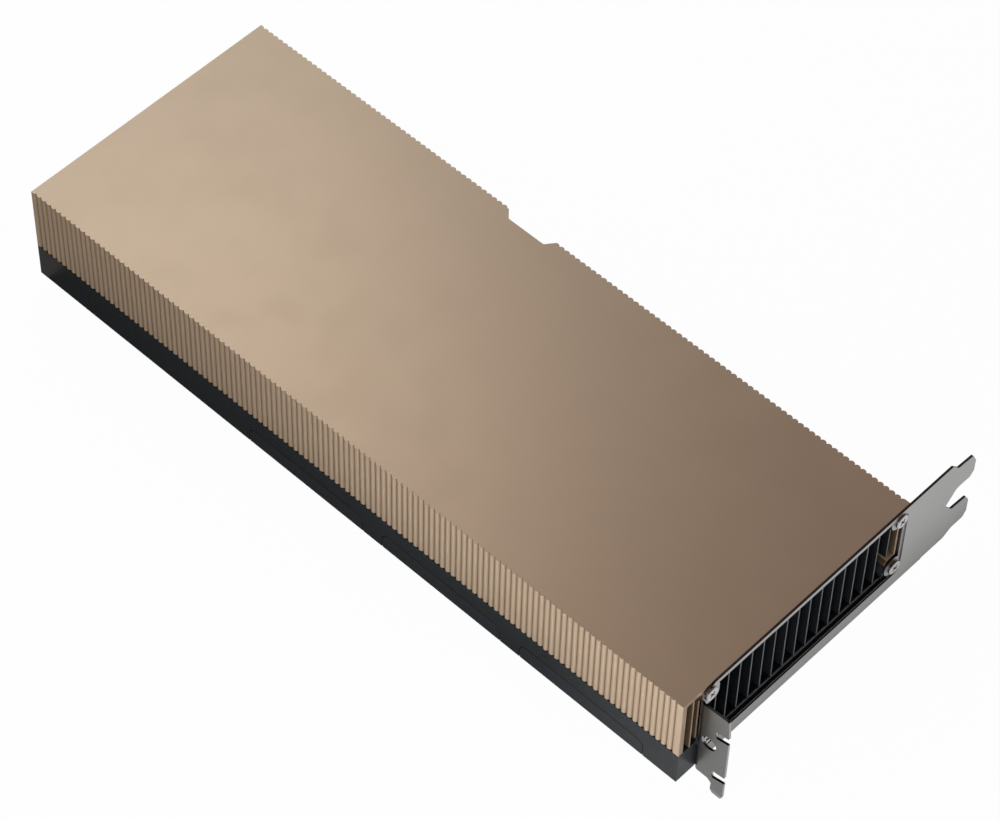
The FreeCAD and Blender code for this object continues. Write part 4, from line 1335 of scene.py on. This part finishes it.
@dataclass
class Softbox:
    """One rectangular lamp."""

    name: str
    place: Vector
    aim: Vector
    size: tuple[float, float]
    watts: float
    tint: Colour = WHITE
    mirrored: bool = True

    def build(self) -> None:
        """Add the lamp, facing its aim."""
        lamp = bpy.data.lights.new(self.name, "AREA")
        lamp.shape = "RECTANGLE"
        lamp.size, lamp.size_y = self.size
        lamp.energy = self.watts
        lamp.color = self.tint
        holder = bpy.data.objects.new(self.name, lamp)
        holder.location = self.place
        holder.rotation_euler = turned_to(self.place, self.aim)
        holder.visible_glossy = self.mirrored
        bpy.context.scene.collection.objects.link(holder)


@dataclass
class ReflectorCard:
    """Studio card that only glossy surfaces see; its tone runs along X, or along X turned about Z."""

    name: str
    place: Vector
    aim: Vector
    size: tuple[float, float]
    dark: Colour
    pale: Colour
    dark_at: float
    pale_at: float
    turn: float = 0.0

    def build(self) -> None:
        """Add the card, facing its aim."""
        bpy.ops.object.select_all(action="DESELECT")
        bpy.ops.mesh.primitive_plane_add(size=1.0)
        card = bpy.context.active_object
        card.name = self.name
        card.scale = (*self.size, 1.0)
        card.rotation_euler = turned_to(self.place, self.aim)
        card.location = self.place
        apply_place(card)
        card.data.materials.append(self._glow())
        card.visible_camera = False
        card.visible_diffuse = False
        card.visible_shadow = False
        card.visible_transmission = False
        card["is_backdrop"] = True

    def _glow(self) -> bpy.types.Material:
        """Glow that runs from the dark tone to the pale one.

        Returns:
            The card's material.
        """
        material = bpy.data.materials.new(self.name)
        wire = Wiring.fresh(material)
        output = wire.add("OutputMaterial")
        glow = wire.add("Emission")
        along = wire.axes(wire.place(turn=(0.0, 0.0, self.turn)))[Axis.X]
        share = wire.remap(along, self.dark_at, self.pale_at)
        wire.join(wire.mix(share, self.dark, self.pale), glow.inputs["Color"])
        wire.join(glow.outputs["Emission"], output.inputs["Surface"])
        return material


@dataclass
class Studio:
    """Pale floor, white surround, soft lamps, reflector cards and the camera."""

    floor_size: float = 12.0
    floor_colour: Colour = (0.86, 0.86, 0.86)
    floor_shadow: float = 0.025
    floor_truth: float = 0.5
    ambient: float = 0.3
    lens: float = 134.4
    sensor: float = 36.0
    camera_place: Vector = field(default_factory=lambda: Vector((0.46563, -0.514102, 0.908958)))
    camera_turn: tuple[float, float, float] = (37.40508, -1.03717, 43.63338)

    def build(self) -> None:
        """Set the whole studio up."""
        bpy.context.scene.view_settings.view_transform = "Standard"
        self._world()
        self._floor()
        low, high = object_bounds()
        for light in (*self._lamps(low, high), *self._cards(low, high)):
            light.build()
        self._camera()

    @staticmethod
    def _rays(wire: Wiring) -> tuple[bpy.types.NodeSocket, bpy.types.NodeSocket]:
        """Tell the rays apart that show the studio as it is.

        Args:
            wire: wiring of the world or the floor.

        Returns:
            One for camera rays, and one for mirrored and transmitted ones.
        """
        path = wire.add("LightPath").outputs
        return path["Is Camera Ray"], wire.math("MAXIMUM", path["Is Glossy Ray"], path["Is Transmission Ray"])

    def _world(self) -> None:
        """White surround that lights the card more gently than it shows."""
        world = bpy.data.worlds.new("surround")
        wire = Wiring.fresh(world)
        output = wire.add("OutputWorld")
        background = wire.add("Background")
        strength = wire.remap(wire.math("MAXIMUM", *self._rays(wire)), 0.0, 1.0, self.ambient, 1.0)
        wire.join(strength, background.inputs["Strength"])
        wire.join(background.outputs["Background"], output.inputs["Surface"])
        background.inputs["Color"].default_value = (*WHITE, 1.0)
        bpy.context.scene.world = world

    def _floor(self) -> None:
        """Pale floor that keeps a soft share of the card's shadow."""
        bpy.ops.object.select_all(action="DESELECT")
        bpy.ops.mesh.primitive_plane_add(size=self.floor_size, location=(0.0, 0.0, 0.0))
        floor = bpy.context.active_object
        floor.name = "studio_floor"
        material = bpy.data.materials.new("pale_floor")
        wire = Wiring.fresh(material)
        output = wire.add("OutputMaterial")
        matt = wire.add("BsdfDiffuse")
        matt.inputs["Color"].default_value = (*self.floor_colour, 1.0)
        glow = wire.add("Emission")
        glow.inputs["Strength"].default_value = 1.0
        mixed = wire.add("MixShader")
        seen, mirrored = self._rays(wire)
        share = wire.math("MAXIMUM", wire.math("MULTIPLY", seen, 1.0 - self.floor_shadow),
                          wire.math("MULTIPLY", mirrored, 1.0 - self.floor_truth))
        wire.join(share, mixed.inputs["Fac"])
        wire.join(matt.outputs["BSDF"], mixed.inputs[1])
        wire.join(glow.outputs["Emission"], mixed.inputs[2])
        wire.join(mixed.outputs["Shader"], output.inputs["Surface"])
        floor.data.materials.append(material)
        floor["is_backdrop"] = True

    @staticmethod
    def _lamps(low: Vector, high: Vector) -> list[Softbox]:
        """Softbox over the rear end, and low ones beside the bracket and the far side.

        Args:
            low: lowest corner of the card.
            high: highest corner of the card.

        Returns:
            The lamps.
        """
        centre = (low + high) / 2
        rear = Vector((low.x, centre.y, high.z))
        front = Vector((high.x, low.y, centre.z))
        back = Vector((low.x, high.y, centre.z))
        return [
            Softbox("rear_softbox", rear + Vector((-0.12, 0.05, 0.34)), rear, size=(0.3, 0.3),
                    watts=0.5, tint=(0.94, 1.0, 1.05)),
            Softbox("bracket_softbox", front + Vector((0.1, -0.23, 0.03)), front, size=(0.25, 0.1),
                    watts=1.45, tint=(0.9, 1.0, 1.08), mirrored=False),
            Softbox("far_softbox", back + Vector((-0.3, 0.42, 0.07)), back, size=(0.5, 0.3),
                    watts=1.6, mirrored=False),
        ]

    @staticmethod
    def _cards(low: Vector, high: Vector) -> list[ReflectorCard]:
        """One card overhead, and three that lie on the floor; the strip along the near side and the dark band
        of the one before the bracket are painted shade seen in reflections.

        Args:
            low: lowest corner of the card.
            high: highest corner of the card.

        Returns:
            The reflector cards.
        """
        centre = (low + high) / 2
        up = Vector((0.0, 0.0, 1.0))
        over = Vector((0.0, 0.0, 0.5))
        beside = Vector((-0.17, low.y - 0.19, 0.0005))
        before = Vector((high.x + 0.14, centre.y, 0.0006))
        foot = Vector((0.0, low.y - 0.004, 0.0008))
        return [
            ReflectorCard("overhead_card", over, centre, size=(2.4, 2.4), dark=(0.19, 0.125, 0.115),
                          pale=(0.70, 0.90, 1.03), dark_at=-0.245, pale_at=-0.6, turn=21.8),
            ReflectorCard("floor_card", beside, beside + up, size=(0.66, 0.4), dark=(0.28, 0.257, 0.232),
                          pale=(0.71, 0.71, 0.69), dark_at=-0.045, pale_at=0.015),
            # painted shadow: a dark strip on the floor along the near side that glossy faces see as the
            # card's contact shadow
            ReflectorCard("foot_card", foot, foot + up, size=(high.x - low.x, 0.022),
                          dark=(0.05, 0.05, 0.05), pale=(0.52, 0.52, 0.52), dark_at=0.07, pale_at=0.13),
            # its dark band at the bracket's foot is painted shade that glossy faces see as the floor's shade
            # there
            ReflectorCard("bracket_card", before, before + up, size=(0.3, 0.5), dark=(0.5, 0.5, 0.5),
                          pale=WHITE, dark_at=high.x - 0.01, pale_at=high.x + 0.003),
        ]

    def _camera(self) -> None:
        """Camera that looks down on the bracket end."""
        camera = bpy.data.cameras.new("camera")
        camera.lens = self.lens
        camera.sensor_width = self.sensor
        camera.sensor_fit = "HORIZONTAL"
        holder = bpy.data.objects.new("camera", camera)
        holder.location = self.camera_place
        holder.rotation_euler = Euler([math.radians(angle) for angle in self.camera_turn])
        bpy.context.scene.collection.objects.link(holder)
        bpy.context.scene.camera = holder


def main() -> None:
    """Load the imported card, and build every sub-assembly and the studio."""
    logging.basicConfig(level=logging.INFO, format="%(name)s %(message)s")
    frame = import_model()
    wardrobe = Wardrobe(Palette(), Effects())
    for kind in (Shroud, Frame, Bracket, Cooler, Board):
        kind(frame["nodes"], wardrobe).build()
    Studio().build()


if __name__ == "__main__":
    main()
